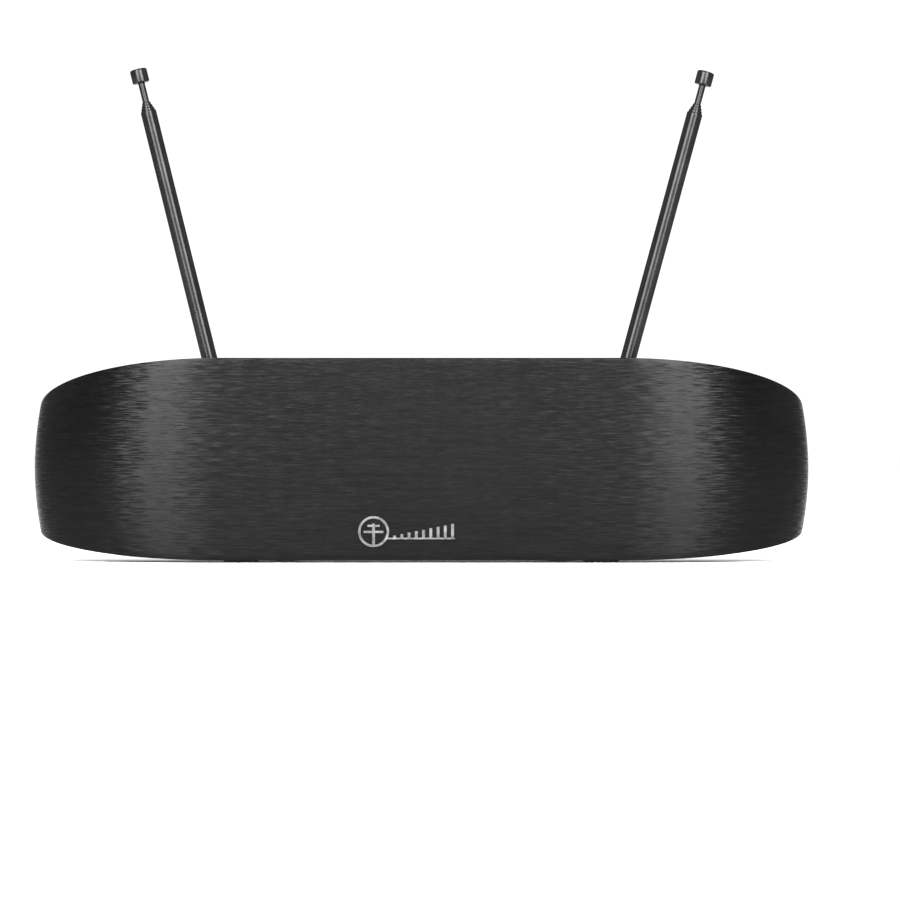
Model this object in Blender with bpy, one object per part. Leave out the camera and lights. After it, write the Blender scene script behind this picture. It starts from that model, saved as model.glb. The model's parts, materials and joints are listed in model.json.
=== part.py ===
"""Table-top rabbit ears antenna: a wide, wrapped bar on swing-out feet, two telescopic rods on
turrets behind it, and a coaxial lead with an in-line amplifier, its spare length wound in a coil.

Metres, +Z up, -Y to the front. The origin is on the table, under the middle of the bar and feet.
Depths (d) are measured backwards from the bar's front face.
"""

import math

import bmesh
import bpy
from mathutils import Matrix, Vector

MM = 0.001
GAP = 0.3 * MM  # between pieces that rest on each other
SLIP = 0.15 * MM  # between pieces that turn or slide in each other

# The bar
BAR_WIDTH = 340 * MM
BAR_TOP = 88.0 * MM
BAR_BOTTOM = 1.0 * MM
FLAT_WIDTH = 171 * MM
WRAP_DEPTH = 44 * MM
HOUSING_DEPTH = 48 * MM
TOTAL_DEPTH = 80 * MM
BADGE_RELIEF = 0.8 * MM
TOP_SLOPE = 0.50
BOTTOM_SLOPE = 0.29
CROWN_MIDDLE = 1.0 * MM
CROWN_END = 2.6 * MM
FASCIA = 1.0 * MM
WALL = 2.0 * MM
WRAP_STEPS = 9
CROWN_ROWS = 6

# The badge: its ring's centre and size, and the row of bars beside it
BADGE_X = -20.2 * MM
BADGE_Z = 13.5 * MM
BADGE_RADIUS = 6.6 * MM
BADGE_STROKE = 1.0 * MM
BAR_FOOT = 10.2 * MM
BAR_COUNT = 9
BAR_PITCH = 3.1 * MM
BAR_RISE = 0.62 * MM
BAR_STROKE = 1.2 * MM

# The rear cover and what it carries
COVER_BACK = 46 * MM
COVER_FRONT = COVER_BACK - 2.3 * MM
SCREW_X = 140 * MM
SCREW_HEIGHTS = (24 * MM, 55 * MM)
COVER_SCREWS = [(x, z) for z in SCREW_HEIGHTS for x in (-SCREW_X, SCREW_X)]
COUNTERBORE_RADIUS = 3.1 * MM
COUNTERBORE_DEPTH = 1.0 * MM
POST_RADIUS = 3.2 * MM
JACK_HEIGHT = 38 * MM
JACK_RADIUS = 4.7 * MM
JACK_END = 57 * MM

# The turrets: a hub in the cover, a drum behind it, and two ears for the pin
HUB_RADIUS = 2.3 * MM
HUB_FRONT = 40.9 * MM
CLIP_FRONT = 42.2 * MM
CLIP_GROOVE = 1.0 * MM
GROOVE_RADIUS = 1.7 * MM
DRUM_RADIUS = 11 * MM
DRUM_LENGTH = 4.5 * MM
EAR_RADIUS = 4.8 * MM
EAR_OUTER = 4.0 * MM
HINGE_PIN_RADIUS = 1.2 * MM
PIN_HOLE_RADIUS = HINGE_PIN_RADIUS + SLIP
TONGUE_HALF = 1.6 * MM
TONGUE_RADIUS = 4.3 * MM

# The rods: the pin's place, and how far each leans outwards, in degrees
SIDES = {"left": -1, "right": 1}
PIN_X = {"left": -82.4 * MM, "right": 78.7 * MM}
PIN_DEPTH = 55.5 * MM
PIN_HEIGHT = 42 * MM
LEAN = {"left": -13.9, "right": 15.2}
SECTION_RADII = (3.5 * MM, 3.0 * MM, 2.5 * MM, 2.0 * MM)
SECTION_WALL = 0.35 * MM
FIRST_TOP = 161.3 * MM
TOP_STEP = 1.3 * MM
FIRST_FOOT = 9.0 * MM
SECOND_FOOT = 15.5 * MM
FOOT_STEP = 1.5 * MM
TIP_RADIUS = 1.5 * MM
TIP_FOOT = 24 * MM
CAP_RADIUS = 3.8 * MM
CAP_LENGTH = 6.2 * MM
STEM_LENGTH = 8.8 * MM
ROD_SIDES = 16

# The swing-out feet
FOOT_X = 60 * MM
FOOT_PIVOT_DEPTH = 36 * MM
FOOT_WIDTH = 12 * MM
FOOT_TOP = 5.2 * MM
HUB_TOP = 8 * MM
SHOULDER_HEIGHT = 4.4 * MM
PAD_HEIGHT = 1.1 * MM
FRONT_PADS = (70 * MM, 85 * MM)

# The lead and its amplifier, behind the bar
CABLE = 4.2 * MM
AMP_LENGTH = 78 * MM
AMP_WIDTH = 32 * MM
AMP_HEIGHT = 15.5 * MM
AMP_DEPTH = 146 * MM
AMP_PORT_HEIGHT = 8 * MM
AMP_PORT_OFFSET = 6.5 * MM
AMP_WALL = 1.5 * MM
AMP_END_CAP = 3 * MM
AMP_BAND = 9 * MM
SWITCH_X = -20.5 * MM
SWITCH_TRAVEL = 3 * MM
KNOB_LENGTH = 5 * MM
LED_X = 19 * MM
LED_HEIGHT = 4.8 * MM
GROMMET_LENGTH = 12 * MM
COIL_X = -98 * MM
COIL_DEPTH = 128 * MM
COIL_TURNS_ACROSS = 5
COIL_TURNS_HIGH = 4
COIL_MEAN_RADIUS = 6 * CABLE
COIL_LIFT = 1.0 * MM
COIL_SOFT = 2.5 * MM
TIE_WIDTH = 5 * MM
PLUG_LENGTH = 30 * MM
NUT_FLATS = 11 * MM
NUT_LENGTH = 10 * MM
TAIL_PLUG = (-24 * MM, 95 * MM, 6.4 * MM)


def y_at(depth):
    """The Y of a depth behind the front face, from which the badge stands proud."""
    return depth - (TOTAL_DEPTH - BADGE_RELIEF) / 2


def place(x, depth, z):
    return Vector((x, y_at(depth), z))


# ---------------------------------------------------------------- materials


def finish(name, colour, roughness, metallic=0.0):
    material = bpy.data.materials.new(name)
    material.use_nodes = True
    shader = material.node_tree.nodes["Principled BSDF"]
    shader.inputs["Base Color"].default_value = (*colour, 1)
    shader.inputs["Roughness"].default_value = roughness
    shader.inputs["Metallic"].default_value = metallic
    return material


def make_materials():
    return {
        "brushed_black": finish("brushed_black", (0.035, 0.035, 0.037), 0.38, 0.7),
        "matte_black": finish("matte_black", (0.022, 0.022, 0.023), 0.55),
        "gunmetal": finish("gunmetal", (0.10, 0.10, 0.105), 0.25, 1.0),
        "chrome": finish("chrome", (0.75, 0.75, 0.77), 0.12, 1.0),
        "steel": finish("steel", (0.45, 0.45, 0.46), 0.35, 1.0),
        "nickel": finish("nickel", (0.62, 0.60, 0.55), 0.25, 1.0),
        "copper": finish("copper", (0.70, 0.36, 0.20), 0.35, 1.0),
        "circuit_board": finish("circuit_board", (0.02, 0.16, 0.08), 0.5),
        "soft_rubber": finish("soft_rubber", (0.015, 0.015, 0.015), 0.8),
        "cable_jacket": finish("cable_jacket", (0.018, 0.018, 0.019), 0.5),
        "amp_plastic": finish("amp_plastic", (0.038, 0.034, 0.034), 0.42),
        "led_lens": finish("led_lens", (0.05, 0.30, 0.08), 0.2),
    }


# ---------------------------------------------------------------- building blocks


def finish_mesh(bm):
    bmesh.ops.remove_doubles(bm, verts=bm.verts, dist=1e-7)
    bmesh.ops.recalc_face_normals(bm, faces=bm.faces)
    return bm


def add(name, bm, material, parent=None):
    """A named object from a bmesh, shaded smooth with its sharp edges kept."""
    mesh = bpy.data.meshes.new(name)
    bm.to_mesh(mesh)
    bm.free()
    mesh.shade_smooth()
    mesh.set_sharp_from_angle(angle=math.radians(35))
    mesh.materials.append(material)
    obj = bpy.data.objects.new(name, mesh)
    obj.parent = parent
    bpy.context.scene.collection.objects.link(obj)
    return obj


def boolean(target, bm, operation, name):
    """Joins or cuts a hidden helper made from bm. The helper shares the target's parent."""
    helper = add(f"{target.name}_{name}", bm, target.data.materials[0], target.parent)
    helper.hide_render = True
    helper.display_type = "WIRE"
    modifier = target.modifiers.new(name, "BOOLEAN")
    modifier.operation = operation
    modifier.object = helper
    return helper


def merged(parts):
    """Several bmeshes in one. They must not overlap each other."""
    whole = bmesh.new()
    for part in parts:
        mesh = bpy.data.meshes.new("part")
        part.to_mesh(mesh)
        part.free()
        whole.from_mesh(mesh)
        bpy.data.meshes.remove(mesh)
    return whole


def loft(rings, closed=False):
    """Rings of equal count joined in order, with flat ends unless the rings close on themselves."""
    bm = bmesh.new()
    rows = [[bm.verts.new(p) for p in ring] for ring in rings]
    count = len(rings[0])
    pairs = list(zip(rows, rows[1:]))
    if closed:
        pairs.append((rows[-1], rows[0]))
    for near, far in pairs:
        for i in range(count):
            j = (i + 1) % count
            bm.faces.new((near[i], near[j], far[j], far[i]))
    if not closed:
        bm.faces.new(rows[0])
        bm.faces.new(rows[-1])
    return finish_mesh(bm)


def turned(profile, sides=24, closed=False):
    """A profile of (radius, height) turned about Z. A closed profile leaves a hole through."""
    rings = [
        [
            Vector((r * math.cos(turn), r * math.sin(turn), z))
            for turn in (2 * math.pi * k / sides for k in range(sides))
        ]
        for r, z in profile
    ]
    return loft(rings, closed)


AXES = {
    "x": Matrix.Rotation(math.radians(90), 4, "Y"),
    "y": Matrix.Rotation(math.radians(-90), 4, "X"),
    "z": Matrix.Identity(4),
}


def aimed(bm, axis, centre=(0, 0, 0)):
    """Turns a shape's +Z to the +X, +Y or +Z axis, and moves its origin to centre."""
    bm.transform(Matrix.Translation(centre) @ AXES[axis])
    return bm


def rod(axis, centre, radius, low, high, sides=24):
    """A cylinder along an axis through centre, from low to high along it."""
    return aimed(turned(((radius, low), (radius, high)), sides), axis, centre)


def block(low, high):
    bm = bmesh.new()
    bmesh.ops.create_cube(bm, size=1.0)
    size = Vector(high) - Vector(low)
    bm.transform(Matrix.Translation(Vector(low) + size / 2) @ Matrix.Diagonal((*size, 1)))
    return bm


def prism_x(outline, low, high):
    """An outline of (y, z) points stretched from x = low to x = high."""
    return loft([[Vector((x, y, z)) for y, z in outline] for x in (low, high)])


def hex_prism(across_flats, low, high):
    """A hexagonal bar about Z, from low to high."""
    radius = across_flats / math.sqrt(3)
    turns = [math.radians(60 * k) for k in range(6)]
    corners = [(radius * math.cos(turn), radius * math.sin(turn)) for turn in turns]
    return loft([[Vector((a, b, z)) for a, b in corners] for z in (low, high)])


def rounded_end(radius, reach, steps=8):
    """A flat tongue's outline: a half circle about the origin, and a straight stretch to reach."""
    arc = [
        (radius * math.cos(turn), radius * math.sin(turn))
        for turn in (math.pi + math.pi * k / steps for k in range(steps + 1))
    ]
    return [*arc, (radius, reach), (-radius, reach)]


# ---------------------------------------------------------------- the bar's wrapped surface


def plan_columns(end_depth=HOUSING_DEPTH):
    """The bar's front in plan, left to right: (x, depth, outward x, outward depth, crown)."""
    half_flat = FLAT_WIDTH / 2
    reach = BAR_WIDTH / 2 - half_flat
    right = []
    for step in range(WRAP_STEPS + 1):
        turn = math.radians(90) * step / WRAP_STEPS
        out_x, out_d = WRAP_DEPTH * math.sin(turn), -reach * math.cos(turn)
        length = math.hypot(out_x, out_d)
        crown = CROWN_MIDDLE + (CROWN_END - CROWN_MIDDLE) * math.sin(turn) ** 2
        right.append(
            (
                half_flat + reach * math.sin(turn),
                WRAP_DEPTH * (1 - math.cos(turn)),
                out_x / length,
                out_d / length,
                crown,
            )
        )
    right.append((BAR_WIDTH / 2, end_depth, 1.0, 0.0, CROWN_END))
    left = [(-x, d, -out_x, out_d, crown) for x, d, out_x, out_d, crown in reversed(right)]
    return left + right


def heights(depth, wall=0.0):
    """The bar's bottom and top at a depth, moved in by a wall's thickness."""
    run = depth - CROWN_MIDDLE
    bottom = BAR_BOTTOM + BOTTOM_SLOPE * run + wall * math.hypot(1, BOTTOM_SLOPE)
    top = BAR_TOP - TOP_SLOPE * run - wall * math.hypot(1, TOP_SLOPE)
    return bottom, top


def skin_point(column, v, inset, wall=0.0):
    """A point on the wrapped front, v from -1 at its bottom edge to 1 at its top edge."""
    x, depth, out_x, out_d, crown = column
    inwards = inset + crown * v * v
    x -= out_x * inwards
    depth -= out_d * inwards
    bottom, top = heights(depth, wall)
    return place(x, depth, bottom + (v + 1) / 2 * (top - bottom))


def skin_grid(bm, inset, wall=0.0, end_depth=HOUSING_DEPTH):
    rows = [2 * k / CROWN_ROWS - 1 for k in range(CROWN_ROWS + 1)]
    return [
        [bm.verts.new(skin_point(column, v, inset, wall)) for v in rows]
        for column in plan_columns(end_depth)
    ]


def fill_between(bm, first, second):
    for k in range(len(first) - 1):
        bm.faces.new((first[k], first[k + 1], second[k + 1], second[k]))


def fascia_body():
    """The brushed skin: one thin sheet wrapped round the front and both ends."""
    bm = bmesh.new()
    outer, inner = skin_grid(bm, 0), skin_grid(bm, FASCIA)
    for grid in (outer, inner):
        for first, second in zip(grid, grid[1:]):
            fill_between(bm, first, second)
    for side in (0, -1):
        fill_between(bm, outer[side], inner[side])
        fill_between(bm, [column[side] for column in outer], [column[side] for column in inner])
    return finish_mesh(bm)


def wedge_body(inset, wall=0.0, back=HOUSING_DEPTH):
    """A closed body behind the wrapped front, with sloping top and bottom and a flat back."""
    bm = bmesh.new()
    grid = skin_grid(bm, inset, wall, back)
    for first, second in zip(grid, grid[1:]):
        fill_between(bm, first, second)
    low, high = heights(back, wall)
    for side, z in ((0, low), (-1, high)):
        edge = [column[side] for column in grid]
        behind = [bm.verts.new((v.co.x, y_at(back), z)) for v in edge]
        fill_between(bm, edge, behind)
    bmesh.ops.remove_doubles(bm, verts=bm.verts, dist=1e-6)
    bmesh.ops.holes_fill(bm, edges=[e for e in bm.edges if e.is_boundary])
    return finish_mesh(bm)


def cover_outline(depth, inset, wall):
    """The housing's inside in front view at a depth behind the wrap."""
    rows = [2 * k / CROWN_ROWS - 1 for k in range(CROWN_ROWS + 1)]
    end = (BAR_WIDTH / 2, depth, 1.0, 0.0, CROWN_END)
    right = [skin_point(end, v, inset, wall) for v in rows]
    return right + [Vector((-p.x, p.y, p.z)) for p in reversed(right)]


# ---------------------------------------------------------------- the bar


def make_fascia(m):
    add("brushed_fascia", fascia_body(), m["brushed_black"])


def make_front_housing(m):
    inset = FASCIA + GAP
    housing = add("front_housing", wedge_body(inset), m["matte_black"])
    inside = boolean(housing, wedge_body(inset + WALL, WALL, 60 * MM), "DIFFERENCE", "inside")
    posts = [
        rod("y", (x, y_at(0), z), POST_RADIUS, 0, COVER_FRONT - GAP, 12) for x, z in COVER_SCREWS
    ]
    boolean(inside, merged(posts), "DIFFERENCE", "posts")
    pilots = [rod("y", (x, y_at(0), z), 1.25 * MM, 30 * MM, 50 * MM, 8) for x, z in COVER_SCREWS]
    boolean(housing, merged(pilots), "DIFFERENCE", "pilots")
    centres = [place(side * FOOT_X, FOOT_PIVOT_DEPTH, 0) for side in (-1, 1)]
    bosses = [rod("z", c, 7 * MM, 8.3 * MM, 16 * MM, 20) for c in centres]
    boolean(housing, merged(bosses), "UNION", "bosses")
    threads = [rod("z", c, 2.15 * MM, 7 * MM, 14.8 * MM, 12) for c in centres]
    boolean(housing, merged(threads), "DIFFERENCE", "threads")


def make_rear_cover(m):
    inset, wall = FASCIA + GAP + WALL + GAP, WALL + GAP
    rings = [cover_outline(d, inset, wall) for d in (COVER_FRONT, COVER_BACK)]
    cover = add("rear_cover", loft(rings), m["matte_black"])
    ahead, behind = COVER_FRONT - 1 * MM, COVER_BACK + 1 * MM
    hub_hole = HUB_RADIUS + GAP
    holes = [rod("y", (x, y_at(0), PIN_HEIGHT), hub_hole, ahead, behind) for x in PIN_X.values()]
    holes.append(rod("y", (0, y_at(0), JACK_HEIGHT), JACK_RADIUS + GAP, ahead, behind))
    seat = COVER_BACK - COUNTERBORE_DEPTH
    stepped = (
        (1.5 * MM, ahead), (1.5 * MM, seat), (COUNTERBORE_RADIUS, seat), (COUNTERBORE_RADIUS, behind),
    )
    for x, z in COVER_SCREWS:
        holes.append(aimed(turned(stepped, 16), "y", (x, y_at(0), z)))
    boolean(cover, merged(holes), "DIFFERENCE", "holes")


def make_cover_screws(m):
    seat = COVER_BACK - COUNTERBORE_DEPTH + GAP / 2
    profile = (
        (1.1 * MM, 31 * MM),
        (1.1 * MM, seat),
        (2.8 * MM, seat),
        (2.8 * MM, seat + 1.0 * MM),
        (1.8 * MM, seat + 1.6 * MM),
    )
    for number, (x, z) in enumerate(COVER_SCREWS, 1):
        bm = aimed(turned(profile, 16), "y", (x, y_at(0), z))
        add(f"cover_screw_{number}", bm, m["steel"])


def make_badge(m):
    """A plain emblem: a ring round a mast with two arms, and a rising row of bars on a fine line."""
    front, back = y_at(-BADGE_RELIEF), y_at(-GAP)

    def plate(low_x, low_z, high_x, high_z):
        return block((low_x, front, low_z), (high_x, back, high_z))

    ring = (
        (BADGE_RADIUS, front), (BADGE_RADIUS, back),
        (BADGE_RADIUS - BADGE_STROKE, back), (BADGE_RADIUS - BADGE_STROKE, front),
    )
    centre = (BADGE_X, 0, BADGE_Z)
    badge = add("badge", aimed(turned(ring, 32, closed=True), "y", centre), m["chrome"])
    half, mast_foot, mast_top = 0.6 * MM, BADGE_RADIUS - BADGE_STROKE / 2, 3.4 * MM
    mast = plate(BADGE_X - half, BADGE_Z - mast_foot, BADGE_X + half, BADGE_Z + mast_top)
    boolean(badge, mast, "UNION", "mast")
    arms = []
    for reach, low in ((4.2 * MM, -0.6 * MM), (2.6 * MM, 2.0 * MM)):
        low_z = BADGE_Z + low
        arms.append(plate(BADGE_X - reach, low_z, BADGE_X + reach, low_z + 0.9 * MM))
    boolean(badge, merged(arms), "UNION", "arms")
    line_start, margin = BADGE_X + 0.8 * BADGE_RADIUS, 1.6 * MM
    line_end = line_start + margin + BAR_COUNT * BAR_PITCH
    boolean(badge, plate(line_start, BAR_FOOT, line_end, BAR_FOOT + 0.7 * MM), "UNION", "line")
    bars = []
    for k in range(BAR_COUNT):
        low_x = line_end - margin - (BAR_COUNT - 1 - k) * BAR_PITCH
        top = BAR_FOOT + 1.6 * MM + k * BAR_RISE
        bars.append(plate(low_x, BAR_FOOT + 0.35 * MM, low_x + BAR_STROKE, top))
    boolean(badge, merged(bars), "UNION", "bars")


def make_antenna_elements(m):
    """Two plates of a wide bow tie behind the front wall, each with a window."""
    for side, sign in SIDES.items():
        outline = [(6, 32), (74, 22), (74, 70), (6, 56)]
        window = [(24, 38), (64, 33), (64, 60), (24, 54)]
        plate, hole = (
            loft([[place(sign * x * MM, d * MM, z * MM) for x, z in points] for d in depths])
            for points, depths in ((outline, (14, 14.8)), (window, (13, 16)))
        )
        element = add(f"uhf_element_{side}", plate, m["copper"])
        boolean(element, hole, "DIFFERENCE", "window")


def make_balun(m):
    board = block(place(-26 * MM, 37.6 * MM, 24 * MM), place(26 * MM, 39.2 * MM, 56 * MM))
    add("balun_board", board, m["circuit_board"])
    shield = block(place(-18 * MM, 32 * MM, 28 * MM), place(18 * MM, 37.3 * MM, 52 * MM))
    add("balun_shield", shield, m["nickel"])
    thread = (
        (JACK_RADIUS, 39.5 * MM), (JACK_RADIUS, JACK_END - 0.4 * MM), (JACK_RADIUS - 0.4 * MM, JACK_END),
        (2.2 * MM, JACK_END), (2.2 * MM, JACK_END - 8 * MM),
    )
    centre = (0, y_at(0), JACK_HEIGHT)
    jack = add("coax_jack", aimed(turned(thread), "y", centre), m["nickel"])
    face = COVER_BACK + GAP
    flange = hex_prism(12 * MM, face, face + 2.5 * MM)
    boolean(jack, aimed(flange, "y", centre), "UNION", "hex")


def make_rod_wires(m):
    """The leads from each turret's clip to the board: (share of the way out, depth, height in mm)."""
    route = (
        (1, 42.4, 42), (0.85, 41.6, 43), (0.63, 40.2, 48),
        (0.37, 39.2, 51), (0.15, 38.6, 49), (0, 38.4, 46),
    )
    for side, sign in SIDES.items():
        inner, outer = sign * 27 * MM, PIN_X[side] - sign * 8.2 * MM
        points = [place(inner + (outer - inner) * share, d * MM, z * MM) for share, d, z in route]
        tube(f"rod_wire_{side}", smooth_route(points, 5 * MM), 1.6 * MM, m["copper"])


# ---------------------------------------------------------------- the feet


def make_front_pads(m):
    for side, sign in SIDES.items():
        near, far = 7 * MM, 14 * MM
        outline = [
            (y_at(near), 0), (y_at(far), 0),
            (y_at(far), heights(far)[0] - GAP), (y_at(near), heights(near)[0] - GAP),
        ]
        low, high = sorted(sign * x for x in FRONT_PADS)
        add(f"front_pad_{side}", prism_x(outline, low, high), m["soft_rubber"])


def make_swing_feet(m):
    """A flat arm under each side, hung on a shoulder screw, with a round rubber pad at its end."""
    reach = TOTAL_DEPTH - FOOT_PIVOT_DEPTH - FOOT_WIDTH / 2
    low, high = PAD_HEIGHT + GAP, FOOT_TOP
    for side, sign in SIDES.items():
        pivot = bpy.data.objects.new(f"foot_pivot_{side}", None)
        pivot.location = place(sign * FOOT_X, FOOT_PIVOT_DEPTH, 0)
        bpy.context.scene.collection.objects.link(pivot)
        near = rounded_end(FOOT_WIDTH / 2, 0)[:9]
        far = [(-x, reach - y) for x, y in near]
        arm = loft([[Vector((x, y, z)) for x, y in near + far] for z in (low, high)])
        foot = add(f"swing_foot_{side}", arm, m["matte_black"], pivot)
        boolean(foot, rod("z", (0, 0, 0), FOOT_WIDTH / 2, 3 * MM, HUB_TOP, 16), "UNION", "hub")
        bore = (
            (4.4 * MM, 0), (4.4 * MM, SHOULDER_HEIGHT),
            (2.3 * MM, SHOULDER_HEIGHT), (2.3 * MM, HUB_TOP + 1 * MM),
        )
        boolean(foot, turned(bore, 16), "DIFFERENCE", "bore")
        pad = rod("z", (0, reach, 0), 5 * MM, 0, PAD_HEIGHT, 20)
        add(f"foot_pad_{side}", pad, m["soft_rubber"], pivot)
        screw = (
            (4.0 * MM, 2.2 * MM), (4.0 * MM, SHOULDER_HEIGHT - SLIP),
            (2.0 * MM, SHOULDER_HEIGHT - SLIP), (2.0 * MM, 14.4 * MM),
        )
        add(f"foot_screw_{side}", turned(screw, 16), m["steel"], pivot)


# ---------------------------------------------------------------- the rods


def section_profile(number):
    """A telescopic section's wall: a flared foot, and a top rolled in round the next section."""
    outer = SECTION_RADII[number]
    inner = outer - SECTION_WALL
    top = FIRST_TOP + number * TOP_STEP
    foot = SECOND_FOOT + (number - 1) * FOOT_STEP if number else FIRST_FOOT
    next_outer = SECTION_RADII[number + 1] if number < 3 else TIP_RADIUS
    lip = next_outer + 0.08 * MM
    profile = [
        (outer, top - 1.7 * MM), (outer - 0.06 * MM, top - 1.0 * MM),
        (lip + 0.18 * MM, top), (lip, top), (lip, top - 0.8 * MM),
        (inner, top - 1.5 * MM), (inner, foot),
    ]
    if number:
        flare = outer + 0.1 * MM
        profile += [(flare, foot), (flare, foot + 5 * MM), (outer, foot + 5.5 * MM)]
    else:
        profile += [(outer, foot)]
    return profile


def make_turret(side, frame, m):
    """A drum that turns on the rear cover, with two ears for the rod's pin."""
    face = COVER_BACK + GAP - PIN_DEPTH
    back = face + DRUM_LENGTH
    groove = CLIP_FRONT - PIN_DEPTH
    drum = (
        (HUB_RADIUS, HUB_FRONT - PIN_DEPTH), (HUB_RADIUS, groove),
        (GROOVE_RADIUS, groove), (GROOVE_RADIUS, groove + CLIP_GROOVE),
        (HUB_RADIUS, groove + CLIP_GROOVE), (HUB_RADIUS, face),
        (DRUM_RADIUS, face), (DRUM_RADIUS, back - 0.8 * MM), (DRUM_RADIUS - 0.8 * MM, back),
    )
    turret = add(f"turret_{side}", aimed(turned(drum, 32), "y"), m["matte_black"], frame)
    root = back - 1 * MM
    ear = [(-y, z) for z, y in rounded_end(EAR_RADIUS, 0)[:9]]
    ear += [(root, EAR_RADIUS), (root, -EAR_RADIUS)]
    inner = TONGUE_HALF + SLIP
    ears = [prism_x(ear, inner, EAR_OUTER), prism_x(ear, -EAR_OUTER, -inner)]
    boolean(turret, merged(ears), "UNION", "ears")
    boolean(turret, rod("x", (0, 0, 0), PIN_HOLE_RADIUS, -5 * MM, 5 * MM, 12), "DIFFERENCE", "pin_hole")
    seat = EAR_OUTER + SLIP
    pin = (
        (HINGE_PIN_RADIUS, -4.6 * MM), (HINGE_PIN_RADIUS, seat),
        (2.2 * MM, seat), (2.2 * MM, 4.8 * MM), (1.4 * MM, 5.3 * MM),
    )
    add(f"hinge_pin_{side}", aimed(turned(pin, 12), "x"), m["steel"], frame)
    near, far = groove + 0.2 * MM, groove + 0.8 * MM
    bore = GROOVE_RADIUS + SLIP
    clip = [(bore, near), (7 * MM, near), (7 * MM, far), (bore, far)]
    add(f"turret_clip_{side}", aimed(turned(clip, 20, closed=True), "y"), m["steel"], frame)


def make_rod(side, frame, m):
    """The knuckle, four telescopic sections and the tip, along the frame's +Z from its pin."""
    tongue = rounded_end(TONGUE_RADIUS, 0)[:9] + [(3.0 * MM, 8.6 * MM), (-3.0 * MM, 8.6 * MM)]
    tongue = prism_x(tongue, -TONGUE_HALF, TONGUE_HALF)
    knuckle = add(f"knuckle_{side}", tongue, m["gunmetal"], frame)
    collar, stop = SECTION_RADII[0], FIRST_FOOT - GAP
    plug = ((collar, 7.6 * MM), (collar, stop), (3.0 * MM, stop), (3.0 * MM, 14.5 * MM))
    boolean(knuckle, turned(plug, ROD_SIDES), "UNION", "plug")
    boolean(knuckle, rod("x", (0, 0, 0), PIN_HOLE_RADIUS, -3 * MM, 3 * MM, 12), "DIFFERENCE", "pin_hole")
    for number in range(4):
        bm = turned(section_profile(number), ROD_SIDES, closed=True)
        add(f"section_{number + 1}_{side}", bm, m["gunmetal"], frame)
    last_top = FIRST_TOP + 3 * TOP_STEP
    cap_foot = last_top + STEM_LENGTH
    tip = (
        (TIP_RADIUS + 0.1 * MM, TIP_FOOT), (TIP_RADIUS + 0.1 * MM, TIP_FOOT + 5 * MM),
        (TIP_RADIUS, TIP_FOOT + 5.5 * MM), (TIP_RADIUS, cap_foot + 2.7 * MM),
    )
    add(f"tip_rod_{side}", turned(tip, ROD_SIDES), m["gunmetal"], frame)
    cap = (
        (TIP_RADIUS + SLIP, cap_foot + 3 * MM), (TIP_RADIUS + SLIP, cap_foot),
        (CAP_RADIUS - 0.4 * MM, cap_foot), (CAP_RADIUS, cap_foot + 0.4 * MM),
        (CAP_RADIUS, cap_foot + CAP_LENGTH - 0.4 * MM), (CAP_RADIUS - 0.4 * MM, cap_foot + CAP_LENGTH),
    )
    add(f"tip_cap_{side}", turned(cap, 24), m["gunmetal"], frame)


def make_ears(m):
    for side in SIDES:
        frame = bpy.data.objects.new(f"rod_frame_{side}", None)
        frame.location = place(PIN_X[side], PIN_DEPTH, PIN_HEIGHT)
        frame.rotation_euler = (0, math.radians(LEAN[side]), 0)
        bpy.context.scene.collection.objects.link(frame)
        make_turret(side, frame, m)
        make_rod(side, frame, m)


# ---------------------------------------------------------------- the in-line amplifier


def amp_outline(inset=0.0):
    """The case's end view: a flat label band between two rounded shoulders, on a flat base."""
    half, shoulder, top = AMP_WIDTH / 2 - inset, AMP_BAND, AMP_HEIGHT - inset
    arc = [
        (shoulder + (half - shoulder) * math.sin(turn), 7 * MM + (top - 7.5 * MM) * math.cos(turn))
        for turn in (math.radians(18 * k) for k in range(6))
    ]
    right = [(half - 2 * MM, inset), (half, inset + 2 * MM)] + arc[::-1] + [(shoulder, top)]
    return right + [(-y, z) for y, z in reversed(right)]


def amp_prism(inset, low, high):
    bm = prism_x(amp_outline(inset), low, high)
    bm.transform(Matrix.Translation(place(0, AMP_DEPTH, 0)))
    return bm


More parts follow.
